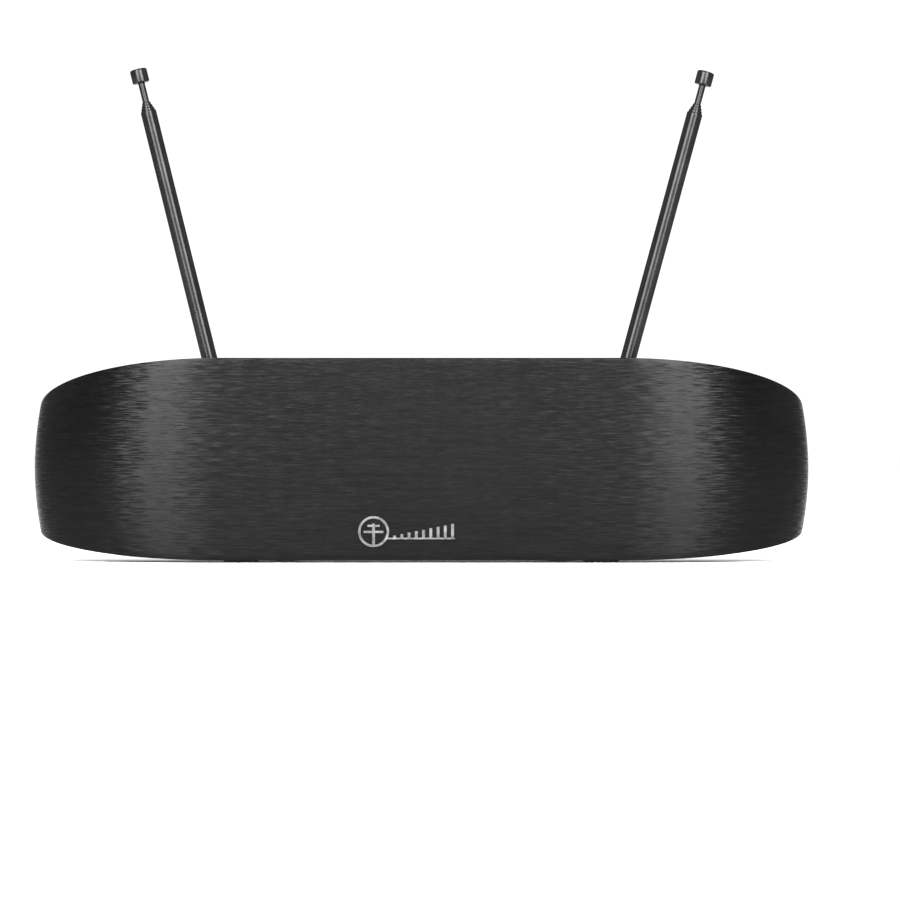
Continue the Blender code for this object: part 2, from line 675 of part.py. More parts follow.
def make_amplifier(m):
    """Its case, the switch and lamp in its back side, and an end cap and grommet at either end."""
    half = AMP_LENGTH / 2
    case_end = half - AMP_END_CAP - GAP
    side_y = y_at(AMP_DEPTH + AMP_WIDTH / 2)
    case = add("amp_case", amp_prism(0, -case_end, case_end), m["amp_plastic"])
    boolean(case, amp_prism(AMP_WALL, -half, half), "DIFFERENCE", "inside")

    knob_low, knob_high = SWITCH_X - KNOB_LENGTH / 2, SWITCH_X + KNOB_LENGTH / 2
    slot = block(
        (knob_low - GAP, side_y - 3 * MM, 3.2 * MM),
        (knob_high + SWITCH_TRAVEL + GAP, side_y + 1 * MM, 6.4 * MM),
    )
    boolean(case, slot, "DIFFERENCE", "switch_slot")
    knob = block((knob_low, side_y - 2.2 * MM, 3.4 * MM), (knob_high, side_y + 1.7 * MM, 6.2 * MM))
    add("amp_switch_knob", knob, m["matte_black"])

    lamp = (LED_X, side_y, LED_HEIGHT)
    boolean(case, rod("y", lamp, 1.35 * MM, -3 * MM, 1 * MM, 12), "DIFFERENCE", "led_hole")
    lens = ((1.2 * MM, -2 * MM), (1.2 * MM, 0.3 * MM), (0.7 * MM, 0.7 * MM))
    add("amp_led", aimed(turned(lens, 12), "y", lamp), m["led_lens"])

    board_low = (-33 * MM, y_at(AMP_DEPTH - 12 * MM), 7.2 * MM)
    board_high = (33 * MM, y_at(AMP_DEPTH + 12 * MM), 8.4 * MM)
    add("amp_board", block(board_low, board_high), m["circuit_board"])

    boot = (
        (4.2 * MM, GAP), (4.2 * MM, 1.6 * MM), (3.5 * MM, 2.2 * MM),
        (2.9 * MM, GROMMET_LENGTH - 1 * MM), (2.6 * MM, GROMMET_LENGTH),
    )
    for name, sign, offset in (("in", 1, -AMP_PORT_OFFSET), ("out", -1, 0)):
        low, high = sorted((sign * (half - AMP_END_CAP), sign * half))
        add(f"amp_end_cap_{name}", amp_prism(0, low, high), m["matte_black"])
        centre = place(sign * half, AMP_DEPTH + offset, AMP_PORT_HEIGHT)
        outwards = turned([(r, sign * z) for r, z in boot], 20)
        add(f"amp_grommet_{name}", aimed(outwards, "x", centre), m["soft_rubber"])


# ---------------------------------------------------------------- the lead


def smooth_route(points, spacing):
    """Points evenly spaced along a Catmull-Rom curve through the route's own points."""
    padded = [2 * points[0] - points[1], *points, 2 * points[-1] - points[-2]]
    fine = []
    for a, b, c, d in zip(padded, padded[1:], padded[2:], padded[3:]):
        for k in range(16):
            t = k / 16
            fine.append(
                0.5 * (2 * b + (c - a) * t + (2 * a - 5 * b + 4 * c - d) * t * t
                       + (3 * b - a - 3 * c + d) * t ** 3)
            )
    fine.append(points[-1])
    lengths = [0.0]
    for a, b in zip(fine, fine[1:]):
        lengths.append(lengths[-1] + (b - a).length)
    count = max(2, round(lengths[-1] / spacing))
    even, at = [], 0
    for k in range(count + 1):
        goal = lengths[-1] * k / count
        while at < len(fine) - 2 and lengths[at + 1] < goal:
            at += 1
        share = (goal - lengths[at]) / (lengths[at + 1] - lengths[at])
        even.append(fine[at].lerp(fine[at + 1], share))
    return even


def tube(name, points, diameter, material):
    """A plain round cord: a curve with a bevel and closed ends."""
    curve = bpy.data.curves.new(name, "CURVE")
    curve.dimensions = "3D"
    curve.bevel_depth = diameter / 2
    curve.bevel_resolution = 2
    curve.use_fill_caps = True
    curve.materials.append(material)
    spline = curve.splines.new("POLY")
    spline.points.add(len(points) - 1)
    for point, place_at in zip(spline.points, points):
        point.co = (*place_at, 1)
    obj = bpy.data.objects.new(name, curve)
    bpy.context.scene.collection.objects.link(obj)
    return obj


# The lead from the plug on the bar, down to the table and round into the amplifier, each point
# as (x, depth, z) in mm.
LEAD_IN_ROUTE = (
    (0, 86.3, 38), (0, 91.5, 38), (0.3, 97, 37.8), (3, 103, 36), (9.5, 107.4, 31.5),
    (18, 109.2, 25.5), (27, 109.3, 19), (36.5, 108.5, 12.4), (46, 107, 7), (56, 105.6, 3.5),
    (67, 105, 2.3), (77, 105, 2.2), (87, 107.5, 2.2), (93.8, 113.4, 2.2), (96.3, 121.8, 2.2),
    (94, 130.4, 2.2), (87, 136.8, 2.3), (78, 139.3, 3.2), (69, 139.6, 5.4), (60, 139.5, 7.6),
    (51.4, 139.5, 8),
)
# From the amplifier to the coil, and from the coil to the plug.
LEAD_OUT_ROUTE = (
    (-51.4, 146, 8), (-55.4, 146.2, 7.6), (-59.4, 146.9, 6.5), (-62.9, 147.8, 5.4), (-66.2, 149, 4.3),
)
TAIL_ROUTE = (
    (-80.3, 94.4, 12.9), (-75.8, 94.5, 11), (-71, 94.7, 9.2), (-66.3, 94.9, 7.6), (-61.8, 95, 6.7),
    (-57.8, 95, 6.4), (-54.3, 95, 6.4),
)


def route_of(numbers):
    return [place(x * MM, d * MM, z * MM) for x, d, z in numbers]


def make_plug(name, nut_name, matrix, m):
    """A screw-on coaxial plug along its own +Z: a hex nut, a crimped sleeve, a boot and its pin."""
    body = (
        (0.5 * MM, 0.6 * MM), (0.5 * MM, 7.2 * MM), (4.55 * MM, 7.2 * MM), (4.55 * MM, 8.4 * MM),
        (3.3 * MM, 8.4 * MM), (3.3 * MM, 10.3 * MM), (4.1 * MM, 10.3 * MM), (4.1 * MM, 19 * MM),
        (3.6 * MM, 19.4 * MM), (2.8 * MM, PLUG_LENGTH),
    )
    bm = turned(body, 20)
    bm.transform(matrix)
    add(name, bm, m["nickel"])
    shell = hex_prism(NUT_FLATS, 0, NUT_LENGTH)
    shell.transform(matrix)
    nut = add(nut_name, shell, m["nickel"])
    bore = ((4.85 * MM, -1 * MM), (4.85 * MM, 8.6 * MM), (3.45 * MM, 8.6 * MM), (3.45 * MM, 11 * MM))
    bore = turned(bore, 20)
    bore.transform(matrix)
    boolean(nut, bore, "DIFFERENCE", "bore")


def coil_section():
    """The coil's bundle in section: inner and outer radius, bottom and top."""
    half = COIL_TURNS_ACROSS * CABLE / 2
    high = COIL_TURNS_HIGH * CABLE
    return COIL_MEAN_RADIUS - half, COIL_MEAN_RADIUS + half, COIL_LIFT, COIL_LIFT + high


def make_lead(m):
    nose = place(0, 56 * MM, JACK_HEIGHT)
    towards_back = Matrix.Translation(nose) @ AXES["y"]
    make_plug("lead_in_plug", "lead_in_nut", towards_back, m)
    tail_nose = place(*TAIL_PLUG)
    towards_coil = Matrix.Translation(tail_nose) @ Matrix.Rotation(math.radians(-90), 4, "Y")
    towards_coil = towards_coil @ Matrix.Rotation(math.radians(30), 4, "Z")
    make_plug("lead_out_plug", "lead_out_nut", towards_coil, m)
    routes = {"lead_in": LEAD_IN_ROUTE, "lead_out": LEAD_OUT_ROUTE, "lead_tail": TAIL_ROUTE}
    for name, numbers in routes.items():
        tube(name, smooth_route(route_of(numbers), 2.4 * CABLE), CABLE, m["cable_jacket"])


def make_coil(m):
    """The wound turns as one ring with rounded edges."""
    inner, outer, low, high = coil_section()
    soft = COIL_SOFT
    ring = (
        (inner + soft, low), (outer - soft, low), (outer, low + soft), (outer, high - soft),
        (outer - soft, high), (inner + soft, high), (inner, high - soft), (inner, low + soft),
    )
    coil = turned(ring, 40, closed=True)
    coil.transform(Matrix.Translation(place(COIL_X, COIL_DEPTH, 0)))
    add("lead_coil", coil, m["cable_jacket"])


def make_tie(m):
    """A flat band round the coil's bundle, on the side away from the amplifier."""
    inner, outer, low, high = coil_section()
    band, clear = 0.6 * MM, 0.4 * MM

    def around(extra, cut):
        a, b, c, d = inner - extra, outer + extra, low - extra, high + extra
        corners = [
            (a + cut, c), (b - cut, c), (b, c + cut), (b, d - cut),
            (b - cut, d), (a + cut, d), (a, d - cut), (a, c + cut),
        ]
        return [(COIL_X - r, z) for r, z in corners]

    hole, rim = around(clear, COIL_SOFT), around(clear + band, COIL_SOFT + 0.4 * MM)
    near, far = y_at(COIL_DEPTH) - TIE_WIDTH / 2, y_at(COIL_DEPTH) + TIE_WIDTH / 2
    rings = [
        [Vector((x, y, z)) for x, z in outline]
        for outline, y in ((hole, near), (hole, far), (rim, far), (rim, near))
    ]
    add("coil_tie", loft(rings, closed=True), m["soft_rubber"])


def main():
    for obj in list(bpy.data.objects):
        bpy.data.objects.remove(obj, do_unlink=True)
    m = make_materials()
    make_fascia(m)
    make_front_housing(m)
    make_rear_cover(m)
    make_cover_screws(m)
    make_badge(m)
    make_antenna_elements(m)
    make_balun(m)
    make_rod_wires(m)
    make_front_pads(m)
    make_swing_feet(m)
    make_ears(m)
    make_amplifier(m)
    make_lead(m)
    make_coil(m)
    make_tie(m)


main()
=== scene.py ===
"""Looks for the rabbit ears antenna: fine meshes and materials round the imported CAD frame."""

import json
import math

import bmesh
import bpy
from mathutils import Matrix, Vector


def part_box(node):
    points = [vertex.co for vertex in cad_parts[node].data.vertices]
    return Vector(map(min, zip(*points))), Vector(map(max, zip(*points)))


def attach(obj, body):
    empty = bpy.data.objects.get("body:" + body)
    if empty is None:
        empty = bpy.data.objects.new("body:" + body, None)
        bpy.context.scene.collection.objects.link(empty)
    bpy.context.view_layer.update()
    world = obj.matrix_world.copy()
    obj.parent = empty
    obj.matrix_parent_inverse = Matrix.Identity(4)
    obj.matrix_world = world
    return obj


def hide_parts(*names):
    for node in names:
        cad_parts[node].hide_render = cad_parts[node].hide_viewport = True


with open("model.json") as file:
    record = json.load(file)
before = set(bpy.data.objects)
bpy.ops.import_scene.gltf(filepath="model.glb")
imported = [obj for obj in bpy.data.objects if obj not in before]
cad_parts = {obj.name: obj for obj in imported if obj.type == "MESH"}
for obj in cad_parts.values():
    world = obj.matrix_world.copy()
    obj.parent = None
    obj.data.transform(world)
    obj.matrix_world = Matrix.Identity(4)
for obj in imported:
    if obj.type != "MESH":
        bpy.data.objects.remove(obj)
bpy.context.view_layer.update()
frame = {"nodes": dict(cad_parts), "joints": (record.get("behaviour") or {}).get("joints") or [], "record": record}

MM = 0.001
JOINTS = {joint["name"]: joint for joint in frame["joints"]}
SIDES = {"left": -1, "right": 1}

# ---- sizes that the frame gives

SKIN_LOW, SKIN_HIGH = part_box("brushed_fascia")
FRONT_Y = SKIN_LOW.y
HALF_WIDTH = SKIN_HIGH.x
BAR_BOTTOM = SKIN_LOW.z
BAR_TOP = SKIN_HIGH.z
HOUSING_DEPTH = SKIN_HIGH.y - FRONT_Y
COVER_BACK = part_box("rear_cover")[1].y - FRONT_Y

# The wrapped bar's own shape, as the CAD draws it
FLAT_WIDTH = 171 * MM
WRAP_DEPTH = 44 * MM
TOP_SLOPE = 0.50
BOTTOM_SLOPE = 0.29
CROWN_MIDDLE = 1.0 * MM
CROWN_END = 2.6 * MM
FASCIA = 1.0 * MM
GAP = 0.3 * MM
WALL = 2.0 * MM
WRAP_STEPS = 40
CROWN_ROWS = 28
FLAT_COLUMNS = 12

# The rods, along their own axis from the pin
PIN = {side: Vector(JOINTS[f"{side}_swivel"]["pos_m"]) for side in SIDES}
ALONG = {side: Vector(JOINTS[f"{side}_tip_slide"]["axis"]).normalized() for side in SIDES}
SECTION_RADII = (3.5 * MM, 3.0 * MM, 2.5 * MM, 2.0 * MM)
SECTION_WALL = 0.35 * MM
FIRST_TOP = 161.3 * MM
TOP_STEP = 1.3 * MM
FIRST_FOOT = 9.0 * MM
SECOND_FOOT = 15.5 * MM
FOOT_STEP = 1.5 * MM
TIP_RADIUS = 1.5 * MM
TIP_FOOT = 24 * MM
CAP_RADIUS = 3.8 * MM
CAP_LENGTH = 6.2 * MM
CAP_FOOT_EDGE = 0.55 * MM
CAP_TOP_EDGE = 0.8 * MM
STEM_LENGTH = 8.8 * MM
SECTION_BODIES = ("rod", "second_section", "third_section", "fourth_section")

# The turrets
HUB_RADIUS = 2.3 * MM
GROOVE_RADIUS = 1.7 * MM
DRUM_RADIUS = 11 * MM
PIN_HOLE_RADIUS = 1.35 * MM

# The lead
CABLE = 4.2 * MM
COIL_X = -98 * MM
COIL_DEPTH = 128 * MM
COIL_ACROSS = 5
COIL_LEVELS = 4
COIL_MEAN_RADIUS = 6 * CABLE
COIL_LIFT = 1.0 * MM
TAIL_PLUG = (-24 * MM, 95 * MM, 6.4 * MM)

# The jack, the screws, the feet and the amplifier
JACK = Vector((0, 0, JOINTS["jack_nut_spin"]["pos_m"][2]))
PLUG_DEPTH = 56 * MM
THREAD_PITCH = 0.794 * MM
THREAD_DEPTH = 0.32 * MM
COVER_THICKNESS = 2.3 * MM
SCREWS = [(x * MM, z * MM) for z in (24, 55) for x in (-140, 140)]
SCREW_SINK = 1 * MM
LINE_LOW = 17.5 * MM
LINE_HIGH = 60.5 * MM
FOOT_X = 60 * MM
FOOT_PIVOT_DEPTH = 36 * MM
AMP_LENGTH = 78 * MM
AMP_WIDTH = 32 * MM
AMP_HEIGHT = 15.5 * MM
AMP_DEPTH = 146 * MM
SWITCH_TRAVEL = 3 * MM
LED_X = 19 * MM
LED_Z = 4.8 * MM

# The badge
BADGE_RELIEF = 0.8 * MM
BADGE_X = -20.2 * MM
BADGE_Z = 13.5 * MM
BADGE_RADIUS = 6.6 * MM
BADGE_STROKE = 1.0 * MM
BAR_FOOT = 10.2 * MM
BAR_COUNT = 9
BAR_PITCH = 3.1 * MM
BAR_RISE = 0.62 * MM
BAR_STROKE = 1.2 * MM


def y_at(depth):
    """The Y of a depth behind the bar's front face."""
    return FRONT_Y + depth


def place(x, depth, z):
    """A point with its depth taken from the bar's front face."""
    return Vector((x, y_at(depth), z))


# ---- camera, stage and lights

CAMERA_DISTANCE = 1.6
CAMERA_X = 12.5 * MM
CAMERA_Z = 48.4 * MM
PICTURE_WIDTH_AT_FRONT = 0.3852
FLOOR_HALF = 40.0
ROOM_STRENGTH = 1.12


def make_camera():
    """A level camera in front of the bar, a little to its right."""
    camera = bpy.data.cameras.new("camera")
    camera.sensor_width = 36.0
    camera.lens = camera.sensor_width * CAMERA_DISTANCE / PICTURE_WIDTH_AT_FRONT
    obj = bpy.data.objects.new("camera", camera)
    obj.location = (CAMERA_X, y_at(-CAMERA_DISTANCE), CAMERA_Z)
    obj.rotation_euler = (math.radians(90), 0, 0)
    bpy.context.scene.collection.objects.link(obj)
    bpy.context.scene.camera = obj


def area_light(name, location, target, width, height, power):
    """A rectangular light facing its target. The power is in watts."""
    light = bpy.data.lights.new(name, "AREA")
    light.shape = "RECTANGLE"
    light.size = width
    light.size_y = height
    light.energy = power
    obj = bpy.data.objects.new(name, light)
    obj.location = location
    direction = Vector(target) - Vector(location)
    obj.rotation_euler = direction.to_track_quat("-Z", "Y").to_euler()
    bpy.context.scene.collection.objects.link(obj)


def make_world():
    """A white room all round, so that every view has the same pale background."""
    world = bpy.data.worlds.new("studio")
    world.use_nodes = True
    background = world.node_tree.nodes["Background"]
    background.inputs["Color"].default_value = (1, 1, 1, 1)
    background.inputs["Strength"].default_value = ROOM_STRENGTH
    bpy.context.scene.world = world
    bpy.context.scene.view_settings.view_transform = "Standard"


def make_lights():
    """Upright strips for the two bright bands on the bar's ends, and broad soft lights round them."""
    middle = (0, 0, 0.05)
    for side, sign in SIDES.items():
        area_light(f"strip_{side}", (sign * 0.70, -1.25, 0.65), middle, 0.40, 1.3, 44)
        area_light(f"panel_{side}", (sign * 0.45, -1.5, 0.6), middle, 0.6, 1.0, 3.4)
    area_light("top", (0, -0.1, 2.2), (0, 0, 0), 2.8, 2.8, 20)
    area_light("front_top", (0, -1.5, 1.15), middle, 2.2, 1.2, 10)
    for side, sign in SIDES.items():
        area_light(f"front_low_{side}", (sign * 0.64, -2.2, 0.86), middle, 0.76, 0.9, 31)
        area_light(f"flank_{side}", (sign * 1.9, 0.2, 1.1), middle, 1.8, 1.8, 12)


def make_stage(material):
    mesh = bpy.data.meshes.new("floor")
    bm = bmesh.new()
    corners = ((-1, -1), (1, -1), (1, 1), (-1, 1))
    bm.faces.new([bm.verts.new((x * FLOOR_HALF, y * FLOOR_HALF, 0)) for x, y in corners])
    bm.to_mesh(mesh)
    bm.free()
    mesh.materials.append(material)
    floor = bpy.data.objects.new("floor", mesh)
    bpy.context.scene.collection.objects.link(floor)


# ---- materials

SCRATCH_LEAN = 0.17


class Nodes:
    """A short way to build one material's node tree."""

    def __init__(self, name, roughness, metallic=0.0):
        self.material = bpy.data.materials.new(name)
        self.material.use_nodes = True
        self.tree = self.material.node_tree
        self.shader = self.tree.nodes["Principled BSDF"]
        self.shader.inputs["Metallic"].default_value = metallic
        self.shader.inputs["Roughness"].default_value = roughness

    def node(self, kind, **settings):
        node = self.tree.nodes.new(kind)
        for key, value in settings.items():
            setattr(node, key, value)
        return node

    def link(self, output, socket):
        self.tree.links.new(output, socket)

    def coordinates(self, scale=(1, 1, 1), source="Object"):
        """Texture coordinates stretched by scale on each axis."""
        texture = self.node("ShaderNodeTexCoord")
        mapping = self.node("ShaderNodeMapping")
        mapping.inputs["Scale"].default_value = scale
        self.link(texture.outputs[source], mapping.inputs["Vector"])
        return mapping.outputs["Vector"]

    def noise(self, scale=(1, 1, 1), source="Object", size=1.0, detail=3.0, roughness=0.55):
        noise = self.node("ShaderNodeTexNoise")
        noise.inputs["Scale"].default_value = size
        noise.inputs["Detail"].default_value = detail
        noise.inputs["Roughness"].default_value = roughness
        self.link(self.coordinates(scale, source), noise.inputs["Vector"])
        return noise.outputs["Fac"]

    def ranged(self, value, low, high, source_low=0.3, source_high=0.7):
        """The value spread over low to high."""
        spread = self.node("ShaderNodeMapRange")
        spread.inputs["From Min"].default_value = source_low
        spread.inputs["From Max"].default_value = source_high
        spread.inputs["To Min"].default_value = low
        spread.inputs["To Max"].default_value = high
        self.link(value, spread.inputs["Value"])
        return spread.outputs["Result"]

    def math(self, operation, first, second):
        """One arithmetic step on two outputs, or on an output and a number."""
        node = self.node("ShaderNodeMath", operation=operation)
        for socket, value in zip(node.inputs, (first, second)):
            if isinstance(value, (int, float)):
                socket.default_value = value
            else:
                self.link(value, socket)
        return node.outputs["Value"]

    def colours(self, value, dark, light, low=0.3, high=0.7):
        """Base colours from dark to light, as the value goes from low to high."""
        mix = self.node("ShaderNodeMix", data_type="RGBA")
        mix.inputs["A"].default_value = (*dark, 1)
        mix.inputs["B"].default_value = (*light, 1)
        self.link(self.ranged(value, 0.0, 1.0, low, high), mix.inputs["Factor"])
        self.feed("Base Color", mix.outputs["Result"])

    def bump(self, height, strength, distance):
        bump = self.node("ShaderNodeBump")
        bump.inputs["Strength"].default_value = strength
        bump.inputs["Distance"].default_value = distance
        self.link(height, bump.inputs["Height"])
        self.feed("Normal", bump.outputs["Normal"])
        return bump

    def set(self, socket, value):
        self.shader.inputs[socket].default_value = value

    def feed(self, socket, output):
        self.link(output, self.shader.inputs[socket])


def brushed_black():
    """Black anodised metal, brushed along the bar. U runs along the bar and V up it, in metres."""
    n = Nodes("brushed_black", 0.26, 1.0)
    fine = n.noise((130, 1700, 1), "UV", detail=4, roughness=0.7)
    broad = n.noise((30, 520, 1), "UV", roughness=0.6)
    cloud = n.noise((7, 22, 1), "UV", detail=2)
    streaks = n.math("ADD", n.math("MULTIPLY", fine, 0.6), n.math("MULTIPLY", broad, 0.4))
    shade = n.math("ADD", n.math("MULTIPLY", streaks, 0.85), n.math("MULTIPLY", cloud, 0.15))
    n.colours(shade, (0.0061, 0.0061, 0.0063), (0.0100, 0.0100, 0.0103), 0.36, 0.64)
    n.feed("Roughness", n.ranged(streaks, 0.29, 0.35))
    n.set("Specular Tint", (0.6, 0.6, 0.6, 1))
    n.set("Anisotropic", 0.55)
    n.set("Anisotropic Rotation", 0.25)
    tangent = n.node("ShaderNodeTangent", direction_type="UV_MAP")
    n.feed("Tangent", tangent.outputs["Tangent"])

    # Each scratch faces a little to one side or the other along the bar.
    scratches = n.noise((120, 1900, 1), "UV", roughness=0.6)
    lean = n.node("ShaderNodeVectorMath", operation="SCALE")
    n.link(tangent.outputs["Tangent"], lean.inputs[0])
    n.link(n.ranged(scratches, -SCRATCH_LEAN, SCRATCH_LEAN, 0.25, 0.75), lean.inputs["Scale"])
    total = n.node("ShaderNodeVectorMath", operation="ADD")
    n.link(n.node("ShaderNodeNewGeometry").outputs["Normal"], total.inputs[0])
    n.link(lean.outputs["Vector"], total.inputs[1])
    unit = n.node("ShaderNodeVectorMath", operation="NORMALIZE")
    n.link(total.outputs["Vector"], unit.inputs[0])
    bump = n.bump(streaks, 0.8, 0.03 * MM)
    n.link(unit.outputs["Vector"], bump.inputs["Normal"])
    return n.material


def moulded(name, dark, light, roughness, grain=1.0):
    """Black moulded plastic with a fine spark-eroded grain."""
    n = Nodes(name, roughness)
    grain_noise = n.noise(size=2600, detail=2, roughness=0.6)
    cloud = n.noise(size=45)
    n.colours(cloud, dark, light)
    n.feed("Roughness", n.ranged(grain_noise, roughness - 0.05, roughness + 0.07))
    n.bump(grain_noise, 0.35 * grain, 0.05 * MM)
    return n.material


def gunmetal():
    """Black-plated drawn tube: fine drawing lines along it, and a slightly uneven plate."""
    n = Nodes("gunmetal", 0.27, 1.0)
    lines = n.noise((3200, 3200, 18), detail=2)
    cloud = n.noise(size=90)
    n.colours(cloud, (0.0135, 0.0135, 0.014), (0.020, 0.020, 0.0207))
    n.feed("Roughness", n.ranged(lines, 0.21, 0.27))
    n.bump(lines, 0.15, 0.01 * MM)
    n.set("Specular Tint", (0.55, 0.55, 0.55, 1))
    return n.material


def plated(name, dark, light, roughness):
    """A plated or polished metal with a faint, slightly cloudy surface."""
    n = Nodes(name, roughness, 1.0)
    cloud = n.noise(size=400, detail=4)
    n.colours(cloud, dark, light)
    n.feed("Roughness", n.ranged(cloud, roughness * 0.8, roughness * 1.25))
    n.bump(cloud, 0.08, 0.02 * MM)
    return n.material


def rubber(name, dark, light, roughness, size=900):
    """Rubber or soft plastic with a fine matt grain, smaller for a greater size."""
    n = Nodes(name, roughness)
    grain = n.noise(size=size, detail=4, roughness=0.65)
    n.colours(grain, dark, light)
    n.feed("Roughness", n.ranged(grain, roughness - 0.08, roughness + 0.08))
    n.bump(grain, 0.3, 0.06 * MM)
    return n.material


def circuit_board():
    n = Nodes("circuit_board", 0.4)
    weave = n.node("ShaderNodeTexBrick")
    weave.inputs["Scale"].default_value = 900
    weave.inputs["Color1"].default_value = (0.010, 0.110, 0.050, 1)
    weave.inputs["Color2"].default_value = (0.014, 0.150, 0.070, 1)
    weave.inputs["Mortar"].default_value = (0.006, 0.070, 0.035, 1)
    n.link(n.coordinates(), weave.inputs["Vector"])
    n.feed("Base Color", weave.outputs["Color"])
    return n.material


def led_lens():
    n = Nodes("led_lens", 0.12)
    glow = n.noise(size=800, detail=1)
    n.colours(glow, (0.02, 0.22, 0.05), (0.05, 0.42, 0.10))
    n.set("Coat Weight", 0.6)
    n.set("Coat Roughness", 0.05)
    return n.material


def studio_floor():
    n = Nodes("studio_floor", 0.9)
    cloud = n.noise(size=3, detail=2)
    n.colours(cloud, (0.89, 0.89, 0.89), (0.91, 0.91, 0.91))
    n.set("Specular IOR Level", 0.1)
    return n.material


def make_materials():
    return {
        "brushed_black": brushed_black(),
        "matte_black": moulded("matte_black", (0.012, 0.012, 0.0125), (0.020, 0.020, 0.0205), 0.52),
        "gunmetal": gunmetal(),
        "badge_chrome": plated("badge_chrome", (0.075, 0.075, 0.0765), (0.145, 0.145, 0.148), 0.30),
        "steel": plated("steel", (0.24, 0.24, 0.25), (0.38, 0.38, 0.39), 0.36),
        "nickel": plated("nickel", (0.30, 0.285, 0.26), (0.46, 0.44, 0.405), 0.28),
        "copper": plated("copper", (0.62, 0.28, 0.15), (0.78, 0.42, 0.26), 0.35),
        "circuit_board": circuit_board(),
        "soft_rubber": rubber("soft_rubber", (0.010, 0.010, 0.010), (0.018, 0.018, 0.018), 0.72),
        "cable_jacket": rubber("cable_jacket", (0.012, 0.012, 0.0125), (0.020, 0.020, 0.0205),
                               0.42, 500),
        "amp_plastic": moulded("amp_plastic", (0.030, 0.027, 0.027), (0.042, 0.038, 0.038), 0.40, 0.6),
        "led_lens": led_lens(),
    }


M = make_materials()

# ---- mesh building

SHARP_ANGLE = math.radians(32)
SOFT_ANGLE = math.radians(40)


def weld(bm):
    """Joins points that coincide, and turns every face outwards."""
    bmesh.ops.remove_doubles(bm, verts=bm.verts, dist=1e-7)
    bmesh.ops.recalc_face_normals(bm, faces=bm.faces)
    return bm


def loft(rings, closed=False):
    """Rings of equal count joined in order and capped; a closed loft comes back to its first ring."""
    bm = bmesh.new()
    rows = [[bm.verts.new(p) for p in ring] for ring in rings]
    count = len(rings[0])
    pairs = list(zip(rows, rows[1:]))
    if closed:
        pairs.append((rows[-1], rows[0]))
    for near, far in pairs:
        for i in range(count):
            j = (i + 1) % count
            bm.faces.new((near[i], near[j], far[j], far[i]))
    if not closed:
        bm.faces.new(rows[0])
        bm.faces.new(rows[-1])
    return weld(bm)


def rounded(points, radius, steps=4, closed=False):
    """A polyline with its corners rounded. A corner keeps its point where there is no room."""
    result = []
    count = len(points)
    for i in range(count):
        here = Vector(points[i])
        if not closed and i in (0, count - 1):
            result.append(here)
            continue
        before = Vector(points[i - 1]) - here
        after = Vector(points[(i + 1) % count]) - here
        room = min(radius, 0.45 * before.length, 0.45 * after.length)
        if room < 1e-6 or before.angle(after) > math.radians(168):
            result.append(here)
            continue
        start, end = here + before.normalized() * room, here + after.normalized() * room
        for k in range(steps + 1):
            t = k / steps
            result.append(start * (1 - t) ** 2 + here * 2 * t * (1 - t) + end * t * t)
    return result


def mm(*pairs):
    """Pairs of lengths, given in millimetres."""
    return [(a * MM, b * MM) for a, b in pairs]


def circle_ring(radius, z, sides=48):
    turns = (2 * math.pi * k / sides for k in range(sides))
    return [Vector((radius * math.cos(turn), radius * math.sin(turn), z)) for turn in turns]


def turned(profile, sides=64, closed=False, edge=0.0):
    """A profile of (radius, height) turned about Z, with its edges rounded."""
    points = rounded(profile, edge, 3, closed) if edge else profile
    return loft([circle_ring(r, z, sides) for r, z in points], closed)


def cylinder(radius, low, high, sides=48, edge=0.0):
    return turned(((radius, low), (radius, high)), sides, edge=edge)


AXES = {
    "x": Matrix.Rotation(math.radians(90), 4, "Y"),
    "-x": Matrix.Rotation(math.radians(-90), 4, "Y"),
    "y": Matrix.Rotation(math.radians(-90), 4, "X"),
    "z": Matrix.Identity(4),
}


def aimed(bm, axis, centre=(0, 0, 0)):
    """Turns a shape's +Z to a row axis and moves its origin to centre."""
    bm.transform(Matrix.Translation(centre) @ AXES[axis])
    return bm


def rod_matrix(side):
    """From a rod's own frame, +Z along it from its pin, to the row frame."""
    lean = math.atan2(ALONG[side].x, ALONG[side].z)
    return Matrix.Translation(PIN[side]) @ Matrix.Rotation(lean, 4, "Y")


def block(low, high):
    """A box between its lowest and its highest corner."""
    bm = bmesh.new()
    bmesh.ops.create_cube(bm, size=1.0)
    size = Vector(high) - Vector(low)
    bm.transform(Matrix.Translation(Vector(low) + size / 2) @ Matrix.Diagonal((*size, 1)))
    return bm


def prism(outline, low, high, axis="z"):
    """An outline stretched along X or Z. Its points are on the two other axes, in order."""
    rings = []
    for at in (low, high):
        if axis == "x":
            rings.append([Vector((at, a, b)) for a, b in outline])
        else:
            rings.append([Vector((a, b, at)) for a, b in outline])
    return loft(rings)


def merged(parts):
    """Several shapes as one, so that one Boolean can take them all."""
    whole = bmesh.new()
    for part in parts:
        mesh = bpy.data.meshes.new("part")
        part.to_mesh(mesh)
        part.free()
        whole.from_mesh(mesh)
        bpy.data.meshes.remove(mesh)
    return whole


def arc(radius, start, end, steps, centre=(0, 0)):
    """Points on a circle, from one angle in degrees to another."""
    points = []
    for k in range(steps + 1):
        turn = math.radians(start + (end - start) * k / steps)
        points.append((centre[0] + radius * math.cos(turn), centre[1] + radius * math.sin(turn)))
    return points


def shade_smooth(mesh):
    """Smooth shading that stays sharp over the harder edges."""
    mesh.shade_smooth()
    mesh.set_sharp_from_angle(angle=SHARP_ANGLE)


def link_mesh(name, bm, material):
    mesh = bpy.data.meshes.new(name)
    bm.to_mesh(mesh)
    bm.free()
    shade_smooth(mesh)
    mesh.materials.append(M[material])
    obj = bpy.data.objects.new(name, mesh)
    bpy.context.scene.collection.objects.link(obj)
    return obj


